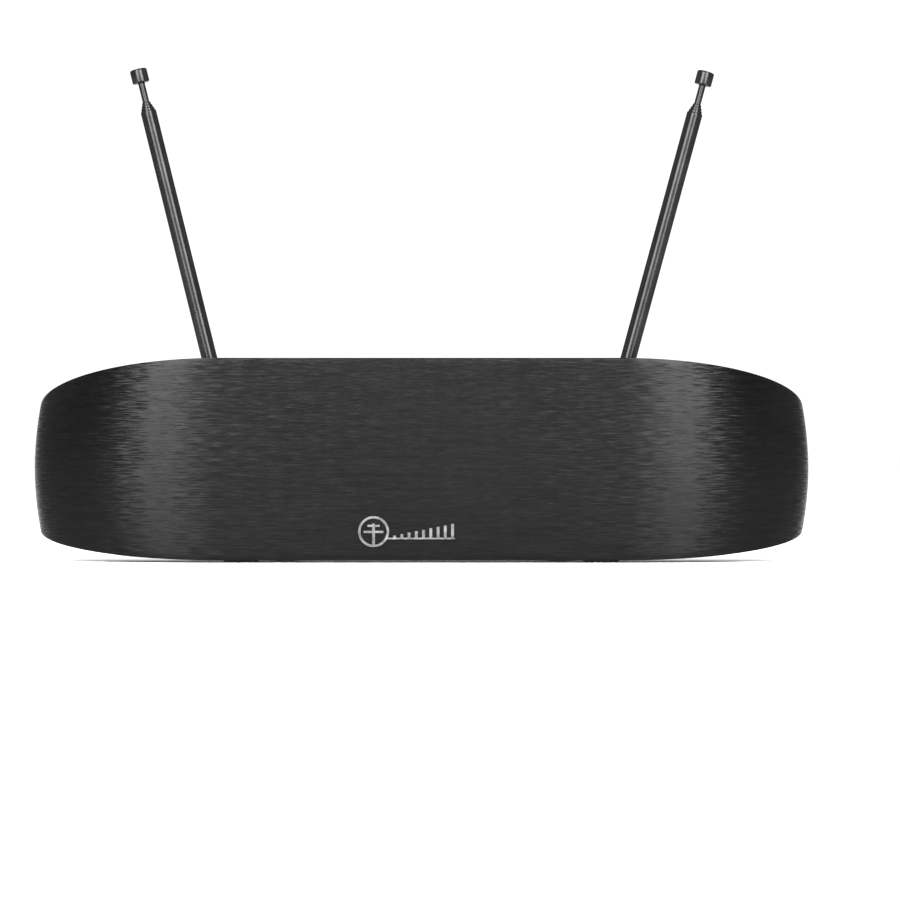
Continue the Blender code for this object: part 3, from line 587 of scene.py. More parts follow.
def bake_modifiers(obj):
    """Applies the modifiers, and shades the result smooth again."""
    graph = bpy.context.evaluated_depsgraph_get()
    mesh = bpy.data.meshes.new_from_object(obj.evaluated_get(graph))
    obj.modifiers.clear()
    old = obj.data
    obj.data = mesh
    bpy.data.meshes.remove(old)
    shade_smooth(mesh)


def soften(obj, width):
    modifier = obj.modifiers.new("soft_edges", "BEVEL")
    modifier.width = width
    modifier.segments = 3
    modifier.limit_method = "ANGLE"
    modifier.angle_limit = SOFT_ANGLE


def piece(name, bm, material, body, node, soft=0.0, cuts=(), joins=(), matrix=None):
    """A finished piece: its shape, joined and cut by others, with soft edges, riding on a body.

    It takes a CAD node's place. All of its shapes are drawn in the matrix's own frame.
    """
    obj = link_mesh(name, bm, material)
    if matrix:
        obj.matrix_world = matrix
    helpers = []
    for kind, shapes in (("UNION", joins), ("DIFFERENCE", cuts)):
        for number, shape in enumerate(shapes):
            helper = link_mesh(f"{name}_{kind}_{number}", shape, material)
            helper.matrix_world = obj.matrix_world
            modifier = obj.modifiers.new(f"{kind}_{number}", "BOOLEAN")
            modifier.operation = kind
            modifier.object = helper
            helpers.append(helper)
    if soft:
        soften(obj, soft)
    if obj.modifiers:
        bpy.context.view_layer.update()
        bake_modifiers(obj)
    for helper in helpers:
        mesh = helper.data
        bpy.data.objects.remove(helper)
        bpy.data.meshes.remove(mesh)
    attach(obj, body)
    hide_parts(node)
    return obj


# ---- the bar


def plan_columns():
    """The bar's front in plan, left to right: (x, depth, outward x, outward depth, crown, run).

    The run is the length along the front from its middle.
    """
    half_flat = FLAT_WIDTH / 2
    reach = HALF_WIDTH - half_flat
    right = [(half_flat * k / FLAT_COLUMNS, 0.0, 0.0, -1.0, CROWN_MIDDLE) for k in range(FLAT_COLUMNS)]
    for step in range(WRAP_STEPS + 1):
        turn = math.radians(90) * step / WRAP_STEPS
        out_x, out_d = WRAP_DEPTH * math.sin(turn), -reach * math.cos(turn)
        length = math.hypot(out_x, out_d)
        crown = CROWN_MIDDLE + (CROWN_END - CROWN_MIDDLE) * math.sin(turn) ** 2
        x, depth = half_flat + reach * math.sin(turn), WRAP_DEPTH * (1 - math.cos(turn))
        right.append((x, depth, out_x / length, out_d / length, crown))
    right.append((HALF_WIDTH, HOUSING_DEPTH, 1.0, 0.0, CROWN_END))
    runs = [0.0]
    for near, far in zip(right, right[1:]):
        runs.append(runs[-1] + math.hypot(far[0] - near[0], far[1] - near[1]))
    right = [(*column, run) for column, run in zip(right, runs)]
    left = [(-x, d, -out_x, out_d, crown, -run) for x, d, out_x, out_d, crown, run in right[:0:-1]]
    return left + right


def heights(depth, wall=0.0):
    """The bar's bottom and top at a depth, moved in by a wall's thickness."""
    run = depth - CROWN_MIDDLE
    bottom = BAR_BOTTOM + BOTTOM_SLOPE * run + wall * math.hypot(1, BOTTOM_SLOPE)
    top = BAR_TOP - TOP_SLOPE * run - wall * math.hypot(1, TOP_SLOPE)
    return bottom, top


def skin_point(column, v, inset, wall=0.0):
    """A point on the wrapped front, v from -1 at its bottom edge to 1 at its top edge."""
    x, depth, out_x, out_d, crown = column[:5]
    inwards = inset + crown * v * v
    bottom, top = heights(depth - out_d * inwards, wall)
    return place(x - out_x * inwards, depth - out_d * inwards, bottom + (v + 1) / 2 * (top - bottom))


def skin_grid(bm, inset, wall=0.0):
    rows = [2 * k / CROWN_ROWS - 1 for k in range(CROWN_ROWS + 1)]
    return [
        [bm.verts.new(skin_point(column, v, inset, wall)) for v in rows]
        for column in plan_columns()
    ]


def fill_between(bm, first, second):
    """Faces between two rows of points. The rows may share a point."""
    for corners in zip(first, first[1:], second[1:], second):
        corners = list(dict.fromkeys(corners))
        if len(corners) > 2:
            bm.faces.new(corners)


def fill_grid(bm, grid):
    for first, second in zip(grid, grid[1:]):
        fill_between(bm, first, second)


def brushed_skin():
    """The brushed sheet round the front and both ends, with a UV map in metres along and up it."""
    bm = bmesh.new()
    outer, inner = skin_grid(bm, 0), skin_grid(bm, FASCIA)
    runs = {}
    for grid in (outer, inner):
        fill_grid(bm, grid)
        for column, points in zip(plan_columns(), grid):
            for vert in points:
                runs[vert] = column[5]
    for side in (0, -1):
        fill_between(bm, outer[side], inner[side])
        fill_between(bm, [column[side] for column in outer], [column[side] for column in inner])
    bmesh.ops.recalc_face_normals(bm, faces=bm.faces)
    layer = bm.loops.layers.uv.new("grain")
    for face in bm.faces:
        for loop in face.loops:
            loop[layer].uv = (runs[loop.vert], loop.vert.co.z)
    return bm


def housing_shell():
    """The moulded body behind the skin: an outer and an inner wedge joined round the open back."""
    bm = bmesh.new()
    inset = FASCIA + GAP
    outer, inner = skin_grid(bm, inset), skin_grid(bm, inset + WALL, WALL)
    back = y_at(HOUSING_DEPTH)
    rims = []
    for grid, wall in ((outer, 0.0), (inner, WALL)):
        fill_grid(bm, grid)
        low, high = heights(HOUSING_DEPTH, wall)
        edges = {}
        for side, z in ((0, low), (-1, high)):
            front = [column[side] for column in grid]
            behind = [bm.verts.new((vert.co.x, back, z)) for vert in front[1:-1]]
            edges[side] = [front[0], *behind, front[-1]]
            fill_between(bm, front, edges[side])
        rims.append(edges)
    for side in (0, -1):
        fill_between(bm, rims[0][side], rims[1][side])
        fill_between(bm, outer[side], inner[side])
    return weld(bm)


def make_skin_and_housing():
    piece("brushed_skin", brushed_skin(), "brushed_black", "bar", "brushed_fascia", soft=0.28 * MM)
    posts, pilots, bosses, threads = [], [], [], []
    for x, z in SCREWS:
        posts.append(aimed(cylinder(3.2 * MM, 13.4 * MM, 43.4 * MM, 32), "y", place(x, 0, z)))
        pilots.append(aimed(cylinder(1.25 * MM, 30 * MM, 45 * MM, 24), "y", place(x, 0, z)))
    for sign in SIDES.values():
        centre = place(sign * FOOT_X, FOOT_PIVOT_DEPTH, 0)
        bosses.append(aimed(cylinder(7 * MM, 8.3 * MM, 16 * MM, edge=0.5 * MM), "z", centre))
        threads.append(aimed(cylinder(2.15 * MM, 7 * MM, 14.8 * MM, 24), "z", centre))
    piece("front_housing_shell", housing_shell(), "matte_black", "bar", "front_housing",
          joins=(merged(bosses), merged(posts)), cuts=(merged(threads), merged(pilots)),
          soft=0.35 * MM)


def cover_ring(depth, inset, wall):
    """The cover's outline at a depth."""
    bottom, top = heights(depth, wall)
    points = []
    for k in range(CROWN_ROWS + 1):
        v = 2 * k / CROWN_ROWS - 1
        x = HALF_WIDTH - inset - CROWN_END * v * v
        points.append(place(x, depth, bottom + (v + 1) / 2 * (top - bottom)))
    return points + [Vector((-p.x, p.y, p.z)) for p in reversed(points)]


def make_cover():
    inset, wall = FASCIA + GAP + WALL + GAP, WALL + GAP
    front = COVER_BACK - COVER_THICKNESS
    plate = loft([cover_ring(d, inset, wall) for d in (front, COVER_BACK)])
    ahead, behind = front - 1 * MM, COVER_BACK + 1 * MM
    holes = []
    for pin in PIN.values():
        holes.append(aimed(cylinder(HUB_RADIUS + GAP, ahead, behind), "y", place(pin.x, 0, pin.z)))
    holes.append(aimed(cylinder(5.0 * MM, ahead, behind, 64), "y", place(0, 0, JACK.z)))
    seat = COVER_BACK - SCREW_SINK
    stepped = ((1.5 * MM, ahead), (1.5 * MM, seat), (3.1 * MM, seat), (3.1 * MM, behind))
    holes += [aimed(turned(stepped, 40), "y", place(x, 0, z)) for x, z in SCREWS]
    lines = []
    for z in (LINE_LOW, LINE_HIGH):
        for sign in SIDES.values():
            low, high = sorted((sign * 20 * MM, sign * 128 * MM))
            low_corner = place(low, COVER_BACK - 0.5 * MM, z)
            lines.append(block(low_corner, place(high, behind, z + 0.8 * MM)))
    piece("rear_cover_plate", plate, "matte_black", "bar", "rear_cover",
          cuts=(merged(holes), merged(lines)), soft=0.25 * MM)


def cross_recess(face, depth, reach, width, faces_up=True):
    """The two arms of a tapered cross for a screwdriver, sunk into a screw's face."""
    outwards = 1 if faces_up else -1
    sunk, beyond = face - outwards * depth, face + outwards * 0.5 * MM
    arms = []
    for turn in (0, 90):
        rings = []
        for z, grow in ((sunk, 0.45), (beyond, 1.15)):
            a, b = reach * grow, width / 2 * (0.7 + 0.3 * grow)
            rings.append([Vector((x, y, z)) for x, y in ((-a, -b), (a, -b), (a, b), (-a, b))])
        arm = loft(rings)
        arm.transform(Matrix.Rotation(math.radians(turn), 4, "Z"))
        arms.append(arm)
    return arms


def make_cover_screws():
    head = mm((1.1, -14), (1.1, 0), (2.8, 0), (2.8, 0.9), (2.5, 1.3), (1.8, 1.55), (0.4, 1.6))
    for number, (x, z) in enumerate(SCREWS, 1):
        seat = place(x, COVER_BACK - SCREW_SINK + GAP / 2, z)
        recess = cross_recess(1.6 * MM, 1.0 * MM, 1.5 * MM, 0.75 * MM)
        screw = aimed(turned(head, 40, edge=0.15 * MM), "y", seat)
        piece(f"rear_cover_screw_{number}", screw, "steel", "bar", f"cover_screw_{number}",
              cuts=[aimed(arm, "y", seat) for arm in recess])


def make_badge():
    """The emblem: a ring round a mast with two arms, and a rising row of bars on a fine line."""
    front, back = y_at(-BADGE_RELIEF), y_at(-GAP)

    def plate(low_x, low_z, high_x, high_z):
        return block((low_x, front, low_z), (high_x, back, high_z))

    ring = (
        (BADGE_RADIUS, front), (BADGE_RADIUS, back),
        (BADGE_RADIUS - BADGE_STROKE, back), (BADGE_RADIUS - BADGE_STROKE, front),
    )
    half, mast_foot, mast_top = 0.6 * MM, BADGE_RADIUS - BADGE_STROKE / 2, 3.4 * MM
    mast = plate(BADGE_X - half, BADGE_Z - mast_foot, BADGE_X + half, BADGE_Z + mast_top)
    arms = []
    for reach, low in ((4.2 * MM, -0.6 * MM), (2.6 * MM, 2.0 * MM)):
        low_z = BADGE_Z + low
        arms.append(plate(BADGE_X - reach, low_z, BADGE_X + reach, low_z + 0.9 * MM))
    line_start, margin = BADGE_X + 0.8 * BADGE_RADIUS, 1.6 * MM
    line_end = line_start + margin + BAR_COUNT * BAR_PITCH
    line = plate(line_start, BAR_FOOT, line_end, BAR_FOOT + 0.7 * MM)
    bars = []
    for k in range(BAR_COUNT):
        low_x = line_end - margin - (BAR_COUNT - 1 - k) * BAR_PITCH
        top = BAR_FOOT + 1.6 * MM + k * BAR_RISE
        bars.append(plate(low_x, BAR_FOOT + 0.35 * MM, low_x + BAR_STROKE, top))
    body = aimed(turned(ring, 96, closed=True), "y", (BADGE_X, 0, BADGE_Z))
    piece("badge_emblem", body, "badge_chrome", "bar", "badge",
          joins=(mast, merged(arms), line, merged(bars)), soft=0.12 * MM)


# ---- the jack, the plugs and their nuts


def thread(radius, low, high):
    """Rings of a standard coaxial thread from low to high, its ridge climbing round."""
    sides = 48
    count = round((high - low) / (THREAD_PITCH / 6))
    rings = []
    for row in range(count + 1):
        z = low + (high - low) * row / count
        fade = min(1.0, 12 * row / count, 12 * (count - row) / count)
        ring = []
        for k in range(sides):
            turn = 2 * math.pi * k / sides
            wave = 0.5 - 0.5 * math.cos(2 * math.pi * z / THREAD_PITCH - turn)
            r = radius - THREAD_DEPTH * wave * fade
            ring.append(Vector((r * math.cos(turn), r * math.sin(turn), z)))
        rings.append(ring)
    return rings


def hex_prism(across_flats, low, high):
    """A hexagonal bar with its corners turned down at both ends."""
    radius = across_flats / math.sqrt(3)
    drop = radius - across_flats / 2
    rings = []
    steps = 8
    for z, trim in ((low, 1.0), (low + 0.45 * drop, 0.35), (low + drop, 0.0),
                    (high - drop, 0.0), (high - 0.45 * drop, 0.35), (high, 1.0)):
        ring = []
        for k in range(6 * steps):
            turn = 2 * math.pi * k / (6 * steps)
            flat = across_flats / 2 / math.cos((turn % (math.pi / 3)) - math.pi / 6)
            r = min(flat, radius - trim * drop)
            turn += math.pi / 6
            ring.append(Vector((r * math.cos(turn), r * math.sin(turn), z)))
        rings.append(ring)
    return loft(rings)


def make_jack():
    """The threaded jack along the bar's depth, with its hexagonal flange on the cover."""
    low, end = 39.5 * MM, 57 * MM
    radius = 4.7 * MM
    rings = [circle_ring(radius, low), circle_ring(radius, 48.9 * MM)]
    rings += thread(radius, 49.1 * MM, end - 0.5 * MM)
    rings += [circle_ring(4.3 * MM, end)]
    rings += [circle_ring(2.2 * MM, end), circle_ring(2.2 * MM, end - 8 * MM)]
    centre = place(0, 0, JACK.z)
    face = COVER_BACK + GAP
    piece("coax_jack_thread", aimed(loft(rings), "y", centre), "nickel", "bar", "coax_jack",
          joins=(aimed(hex_prism(12 * MM, face, face + 2.5 * MM), "y", centre),))


def make_plug(name, node, nut_name, nut_node, nut_body, matrix):
    """A screw-on coaxial plug along its own +Z: a hex nut, a crimped sleeve, a boot and its pin."""
    profile = mm((0.2, 0.6), (0.5, 1), (0.5, 7.2), (4.55, 7.2), (4.55, 8.4), (3.3, 8.4),
                 (3.3, 10.3), (4.1, 10.3))
    for k in range(3):
        z = 12.0 + 2.0 * k
        profile += mm((4.1, z), (3.75, z + 0.35), (3.75, z + 0.75), (4.1, z + 1.1))
    profile += mm((4.1, 19), (3.6, 19.4), (2.8, 30))
    plug = piece(name, turned(profile, 48, edge=0.15 * MM), "nickel", "bar", node, matrix=matrix)
    bore = mm((4.85, -1), (4.85, 8.6), (3.45, 8.6), (3.45, 11))
    nut = piece(nut_name, hex_prism(11 * MM, 0, 10 * MM), "nickel", nut_body, nut_node,
                cuts=(turned(bore, 48),), soft=0.12 * MM, matrix=matrix)
    return [plug, nut]


def make_plugs():
    """The plug on the jack and the one on the lead's far end; returns the far end's pieces."""
    nose = Matrix.Translation(place(0, PLUG_DEPTH, JACK.z)) @ AXES["y"]
    make_plug("lead_in_connector", "lead_in_plug", "lead_in_hex_nut", "lead_in_nut", "jack_nut", nose)
    tail = Matrix.Translation(place(*TAIL_PLUG)) @ AXES["-x"]
    tail = tail @ Matrix.Rotation(math.radians(30), 4, "Z")
    return make_plug("lead_out_connector", "lead_out_plug", "lead_out_hex_nut", "lead_out_nut",
                     "tail_nut", tail)


# ---- the feet


def make_front_pads():
    """Two rubber pads that fill the wedge under the bar, grooved underneath."""
    for side in SIDES:
        low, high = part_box(f"front_pad_{side}")
        rear_z = heights(high.y - FRONT_Y)[0] - GAP
        front_z = heights(low.y - FRONT_Y)[0] - GAP
        outline = [(low.y, 0), (high.y, 0), (high.y, rear_z), (low.y, front_z)]
        grooves = []
        for k in range(1, 6):
            x = low.x + (high.x - low.x) * k / 6
            groove_low = (x - 0.4 * MM, low.y - 1 * MM, -1 * MM)
            grooves.append(block(groove_low, (x + 0.4 * MM, high.y + 1 * MM, 0.25 * MM)))
        piece(f"front_pad_{side}_rubber", prism(outline, low.x, high.x, "x"), "soft_rubber", "bar",
              f"front_pad_{side}", cuts=(merged(grooves),), soft=0.25 * MM)


def make_swing_feet():
    """Each foot in its own frame: its pivot at the origin and its arm along +Y."""
    reach, half = 38 * MM, 6 * MM
    for side, sign in SIDES.items():
        matrix = Matrix.Translation(place(sign * FOOT_X, FOOT_PIVOT_DEPTH, 0))
        outline = arc(half, 180, 360, 24) + arc(half, 0, 180, 24, (0, reach))
        arm = prism(outline, 1.4 * MM, 5.2 * MM)
        hub = cylinder(half, 3 * MM, 8 * MM, 49, edge=0.4 * MM)
        bore = mm((4.4, 0), (4.4, 4.4), (2.3, 4.4), (2.3, 9))
        slot = arc(3.2 * MM, 180, 360, 16, (0, 12 * MM))
        slot += arc(3.2 * MM, 0, 180, 16, (0, reach - 5 * MM))
        recess = prism(slot, 4.4 * MM, 6.0 * MM)
        piece(f"{side}_foot_arm", arm, "matte_black", f"{side}_foot", f"swing_foot_{side}",
              joins=(hub,), cuts=(turned(bore, 48), recess), soft=0.35 * MM, matrix=matrix)
        pad = aimed(cylinder(5 * MM, 0, 1.1 * MM, edge=0.3 * MM), "z", (0, reach, 0))
        piece(f"{side}_foot_rubber", pad, "soft_rubber", f"{side}_foot", f"foot_pad_{side}",
              matrix=matrix)
        screw = mm((4, 2.2), (4, 4.25), (2, 4.25), (2, 14.4))
        cuts = cross_recess(2.2 * MM, 1.1 * MM, 2.0 * MM, 0.9 * MM, faces_up=False)
        piece(f"{side}_foot_shoulder_screw", turned(screw, 48, edge=0.3 * MM), "steel", f"{side}_foot",
              f"foot_screw_{side}", cuts=cuts, matrix=matrix)


# ---- the rods


def make_turret(side):
    """A drum that turns on the rear cover, with two ears for the rod's pin, about Y at the pin."""
    matrix = rod_matrix(side)
    depth = PIN[side].y - FRONT_Y
    face = COVER_BACK + GAP - depth
    back = face + 4.5 * MM
    drum = [
        (HUB_RADIUS, 40.9 * MM - depth), (HUB_RADIUS, 42.2 * MM - depth),
        (GROOVE_RADIUS, 42.2 * MM - depth), (GROOVE_RADIUS, 43.2 * MM - depth),
        (HUB_RADIUS, 43.2 * MM - depth), (HUB_RADIUS, face),
        (10.8 * MM, face), (DRUM_RADIUS, face + 0.2 * MM),
    ]
    for k in range(2):
        z = face + 1.0 * MM + 1.1 * MM * k
        drum += [(DRUM_RADIUS, z), (10.6 * MM, z + 0.15 * MM)]
        drum += [(10.6 * MM, z + 0.45 * MM), (DRUM_RADIUS, z + 0.6 * MM)]
    drum += [(DRUM_RADIUS, back - 0.8 * MM), (10.8 * MM, back - 0.25 * MM), (10.2 * MM, back)]
    drum += [(6.2 * MM, back), (6.0 * MM, back - 0.25 * MM)]
    drum += [(5.6 * MM, back - 0.25 * MM), (5.4 * MM, back)]
    inner, outer, radius = 1.75 * MM, 4.0 * MM, 4.8 * MM
    ear = arc(radius, -90, 90, 24) + [(back - 1 * MM, radius), (back - 1 * MM, -radius)]
    ears = [prism(ear, inner, outer, "x"), prism(ear, -outer, -inner, "x")]
    hole = aimed(cylinder(PIN_HOLE_RADIUS, -5 * MM, 5 * MM, 32), "x")
    turret = aimed(turned(drum, 96), "y")
    piece(f"{side}_turret_drum", turret, "matte_black", f"{side}_turret", f"turret_{side}",
          joins=(merged(ears),), cuts=(hole,), soft=0.22 * MM, matrix=matrix)
    pin = turned(mm((1.2, -4.6), (1.2, 4.15), (2.2, 4.15), (2.2, 4.7), (1.5, 5.2), (0.4, 5.3)), 40,
                 edge=0.15 * MM)
    piece(f"{side}_hinge_pin_rivet", aimed(pin, "x"), "steel", f"{side}_turret",
          f"hinge_pin_{side}", matrix=matrix)


def section_profile(number):
    """A telescopic section's wall: a flared foot, and a top rolled in round the next section."""
    outer = SECTION_RADII[number]
    inner = outer - SECTION_WALL
    top = FIRST_TOP + number * TOP_STEP
    foot = SECOND_FOOT + (number - 1) * FOOT_STEP if number else FIRST_FOOT
    next_outer = SECTION_RADII[number + 1] if number < 3 else TIP_RADIUS
    lip = next_outer + 0.14 * MM
    start, end = top - 0.95 * MM, top - 0.05 * MM
    profile = []
    for k in range(9):
        turn = math.radians(90) * k / 8
        radius = lip + 0.12 * MM + (outer - lip - 0.12 * MM) * math.cos(turn)
        profile.append((radius, start + (end - start) * math.sin(turn)))
    profile += [
        (lip + 0.06 * MM, top), (lip, top), (lip, top - 0.5 * MM),
        (inner, top - 1.6 * MM), (inner, foot),
    ]
    if number:
        flare = outer + 0.1 * MM
        profile += [(flare, foot), (flare, foot + 5 * MM), (outer, foot + 5.5 * MM)]
    else:
        profile += [(outer, foot)]
    return profile


def make_rod(side):
    """The knuckle, four telescopic sections and the tip, along the rod's own +Z from its pin."""
    matrix = rod_matrix(side)
    tongue = arc(4.3 * MM, 180, 360, 24) + mm((3, 8.6), (-3, 8.6))
    collar = mm((3.5, 7.6), (3.5, 8.7), (3, 8.7), (3, 14.5))
    hole = aimed(cylinder(PIN_HOLE_RADIUS, -3 * MM, 3 * MM, 32), "x")
    piece(f"{side}_knuckle_joint", prism(tongue, -1.6 * MM, 1.6 * MM, "x"), "gunmetal", f"{side}_rod",
          f"knuckle_{side}", joins=(turned(collar, 64),), cuts=(hole,), soft=0.2 * MM, matrix=matrix)
    for number, body in enumerate(SECTION_BODIES):
        bm = turned(section_profile(number), 64, closed=True)
        piece(f"{side}_rod_section_{number + 1}", bm, "gunmetal", f"{side}_{body}",
              f"section_{number + 1}_{side}", matrix=matrix)
    cap_foot = FIRST_TOP + 3 * TOP_STEP + STEM_LENGTH
    tip = (
        (TIP_RADIUS + 0.1 * MM, TIP_FOOT), (TIP_RADIUS + 0.1 * MM, TIP_FOOT + 5 * MM),
        (TIP_RADIUS, TIP_FOOT + 5.5 * MM), (TIP_RADIUS, cap_foot + 2.7 * MM),
    )
    piece(f"{side}_tip_stem", turned(tip, 48), "gunmetal", f"{side}_tip", f"tip_rod_{side}",
          matrix=matrix)
    top = cap_foot + CAP_LENGTH
    bore = TIP_RADIUS + 0.15 * MM
    cap = [(bore, cap_foot + 3 * MM), (bore, cap_foot)]
    cap += arc(CAP_FOOT_EDGE, -90, 0, 8, (CAP_RADIUS - CAP_FOOT_EDGE, cap_foot + CAP_FOOT_EDGE))
    cap += arc(CAP_TOP_EDGE, 0, 90, 8, (CAP_RADIUS - CAP_TOP_EDGE, top - CAP_TOP_EDGE))
    piece(f"{side}_tip_button", turned(cap, 64), "gunmetal", f"{side}_tip", f"tip_cap_{side}",
          matrix=matrix)


# ---- the in-line amplifier


def amp_outline(inset=0.0):
    """The case's end view: a flat label band between two rounded shoulders, on a flat base."""
    half, shoulder, top = AMP_WIDTH / 2 - inset, 9 * MM, AMP_HEIGHT - inset
    curve = [
        (shoulder + (half - shoulder) * math.sin(turn), 7 * MM + (top - 7.5 * MM) * math.cos(turn))
        for turn in (math.radians(90) * k / 16 for k in range(17))
    ]
    right = [(half - 2 * MM, inset), (half - 0.6 * MM, inset + 0.6 * MM), (half, inset + 2 * MM)]
    right += curve[::-1] + [(shoulder, top)]
    return right + [(-y, z) for y, z in reversed(right)]


def amp_prism(inset, low, high):
    bm = prism(amp_outline(inset), low, high, "x")
    bm.transform(Matrix.Translation(place(0, AMP_DEPTH, 0)))
    return bm


def make_amplifier():
    """The box with its switch and lamp, end plates and strain reliefs; returns the incoming lead's."""
    half = AMP_LENGTH / 2
    case_end = half - 3 * MM - GAP
    side_y = y_at(AMP_DEPTH + AMP_WIDTH / 2)
    knob_low, knob_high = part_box("amp_switch_knob")
    slot = block((knob_low.x - GAP, side_y - 3 * MM, 3.2 * MM),
                 (knob_high.x + SWITCH_TRAVEL + GAP, side_y + 1 * MM, 6.4 * MM))
    lamp = (LED_X, side_y, LED_Z)
    lamp_hole = aimed(cylinder(1.35 * MM, -3 * MM, 1 * MM, 32), "y", lamp)
    sunk, above = AMP_HEIGHT - 0.3 * MM, AMP_HEIGHT + 1 * MM
    ring = ((4.6 * MM, sunk), (4.6 * MM, above), (3.8 * MM, above), (3.8 * MM, sunk))
    emblem = [aimed(turned(ring, 64, closed=True), "z", place(-8 * MM, AMP_DEPTH, 0))]
    for k in range(5):
        x = 0.5 * MM + 3.0 * MM * k
        foot, reach = AMP_DEPTH - 3.6 * MM, (2.4 + 1.2 * k) * MM
        emblem.append(block(place(x, foot, sunk), place(x + 1.2 * MM, foot + reach, above)))
    piece("amp_case_shell", amp_prism(0, -case_end, case_end), "amp_plastic", "bar", "amp_case",
          cuts=(amp_prism(1.5 * MM, -half, half), slot, lamp_hole, merged(emblem)), soft=0.2 * MM)

    ribs = []
    for k in range(4):
        x = knob_low.x + (0.9 + 1.07 * k) * MM
        rib_low = (x - 0.2 * MM, side_y + 1.2 * MM, 3 * MM)
        ribs.append(block(rib_low, (x + 0.2 * MM, side_y + 2.5 * MM, 7 * MM)))
    piece("amp_switch_ribbed_knob", block(knob_low, knob_high), "matte_black", "amp_switch",
          "amp_switch_knob", cuts=(merged(ribs),), soft=0.12 * MM)
    lens = [(1.2 * MM, -2 * MM)]
    for k in range(9):
        turn = math.radians(85) * k / 8
        lens.append((1.2 * MM * math.cos(turn), 0.7 * MM * math.sin(turn)))
    piece("amp_lamp_lens", aimed(turned(lens, 40), "y", lamp), "led_lens", "bar", "amp_led")

    boot = [(4.2 * MM, GAP), *mm((4.2, 1.4), (4, 1.7), (3.5, 2.2))]
    for k in range(4):
        z = 3.2 + 1.9 * k
        wide = 3.5 - 0.068 * (z - 2.2)
        boot += mm((wide, z), (wide - 0.45, z + 0.3), (wide - 0.45, z + 0.8), (wide, z + 1.1))
    boot += mm((2.85, 11), (2.6, 11.8), (2.3, 12))
    grommets = {}
    for name, sign, offset, axis in (("in", 1, -6.5 * MM, "x"), ("out", -1, 0, "-x")):
        low, high = sorted((sign * (half - 3 * MM), sign * half))
        piece(f"amp_end_plate_{name}", amp_prism(0, low, high), "matte_black", "bar",
              f"amp_end_cap_{name}", soft=0.45 * MM)
        relief = aimed(turned(boot, 48), axis, place(sign * half, AMP_DEPTH + offset, 8 * MM))
        grommets[name] = piece(f"amp_strain_relief_{name}", relief, "soft_rubber", "bar",
                               f"amp_grommet_{name}")
    return grommets["in"]


# ---- the lead's tie


def make_tie():
    """A flat strap round the wound lead, with the corners of its section rounded."""
    half = COIL_ACROSS * CABLE / 2
    inner, outer = COIL_MEAN_RADIUS - half, COIL_MEAN_RADIUS + half
    low, high = COIL_LIFT, COIL_LIFT + COIL_LEVELS * CABLE
    tie_low, tie_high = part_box("coil_tie")
    soft = 2.5 * MM
    outlines = []
    for extra, cut in ((0.4 * MM, soft), (1.0 * MM, soft + 0.4 * MM)):
        a, b, c, d = inner - extra, outer + extra, low - extra, high + extra
        corners = [(COIL_X - b, c), (COIL_X - a, c), (COIL_X - a, d), (COIL_X - b, d)]
        outlines.append([tuple(p) for p in rounded(corners, cut, 8, closed=True)])
    hole, rim = outlines
    rings = [
        [Vector((x, y, z)) for x, z in outline]
        for outline, y in ((hole, tie_low.y), (hole, tie_high.y), (rim, tie_high.y), (rim, tie_low.y))
    ]
    return piece("lead_coil_strap", loft(rings, closed=True), "soft_rubber", "bar", "coil_tie",
                 soft=0.15 * MM)


# ---- the cords

# The routes' points as (x, depth, height) in millimetres
LEAD_IN_ROUTE = (
    (0, 86.3, 38), (0, 91.5, 38), (0.3, 97, 37.8), (3, 103, 36), (9.5, 107.4, 31.5), (18, 109.2, 25.5),
    (27, 109.3, 19), (36.5, 108.5, 12.4), (46, 107, 7), (56, 105.6, 3.5), (67, 105, 2.3), (77, 105, 2.2),
    (87, 107.5, 2.2), (93.8, 113.4, 2.2), (96.3, 121.8, 2.2), (94, 130.4, 2.2), (87, 136.8, 2.3),
    (78, 139.3, 3.2), (69, 139.6, 5.4), (60, 139.5, 7.6), (51.4, 139.5, 8),
)
LEAD_OUT_ROUTE = (
    (-51.4, 146, 8), (-55.4, 146.2, 7.6), (-59.4, 146.9, 6.5), (-62.9, 147.8, 5.4), (-66.2, 149, 4.3),
    (-70.4, 150.9, 3.4), (-75.4, 153.8, 3.1),
)
TAIL_ROUTE = (
    (-92, 94.4, 15.6), (-86, 94.4, 15), (-80.3, 94.4, 12.9), (-75.8, 94.5, 11), (-71, 94.7, 9.2),
    (-66.3, 94.9, 7.6), (-61.8, 95, 6.7), (-57.8, 95, 6.4), (-54.3, 95, 6.4),
)
ROUTE_SPACING = 0.8 * CABLE

# The coil, in degrees round it
COIL_ENTRY = 60
COIL_EXIT = 270
SHIFT_AT = 180
SHIFT_SPREAD = 24
COIL_STEP = 9


def smooth_route(route):
    """Points evenly spaced along a Catmull-Rom curve through a route's points."""
    points = [place(x * MM, depth * MM, z * MM) for x, depth, z in route]
    padded = [2 * points[0] - points[1], *points, 2 * points[-1] - points[-2]]
    fine = []
    for a, b, c, d in zip(padded, padded[1:], padded[2:], padded[3:]):
        for k in range(16):
            t = k / 16
            fine.append(
                0.5 * (2 * b + (c - a) * t + (2 * a - 5 * b + 4 * c - d) * t * t
                       + (3 * b - a - 3 * c + d) * t ** 3)
            )
    fine.append(points[-1])
    lengths = [0.0]
    for a, b in zip(fine, fine[1:]):
        lengths.append(lengths[-1] + (b - a).length)
    count = max(2, round(lengths[-1] / ROUTE_SPACING))
    even, at = [], 0
    for k in range(count + 1):
        goal = lengths[-1] * k / count
        while at < len(fine) - 2 and lengths[at + 1] < goal:
            at += 1
        share = (goal - lengths[at]) / (lengths[at + 1] - lengths[at])
        even.append(fine[at].lerp(fine[at + 1], share))
    return even


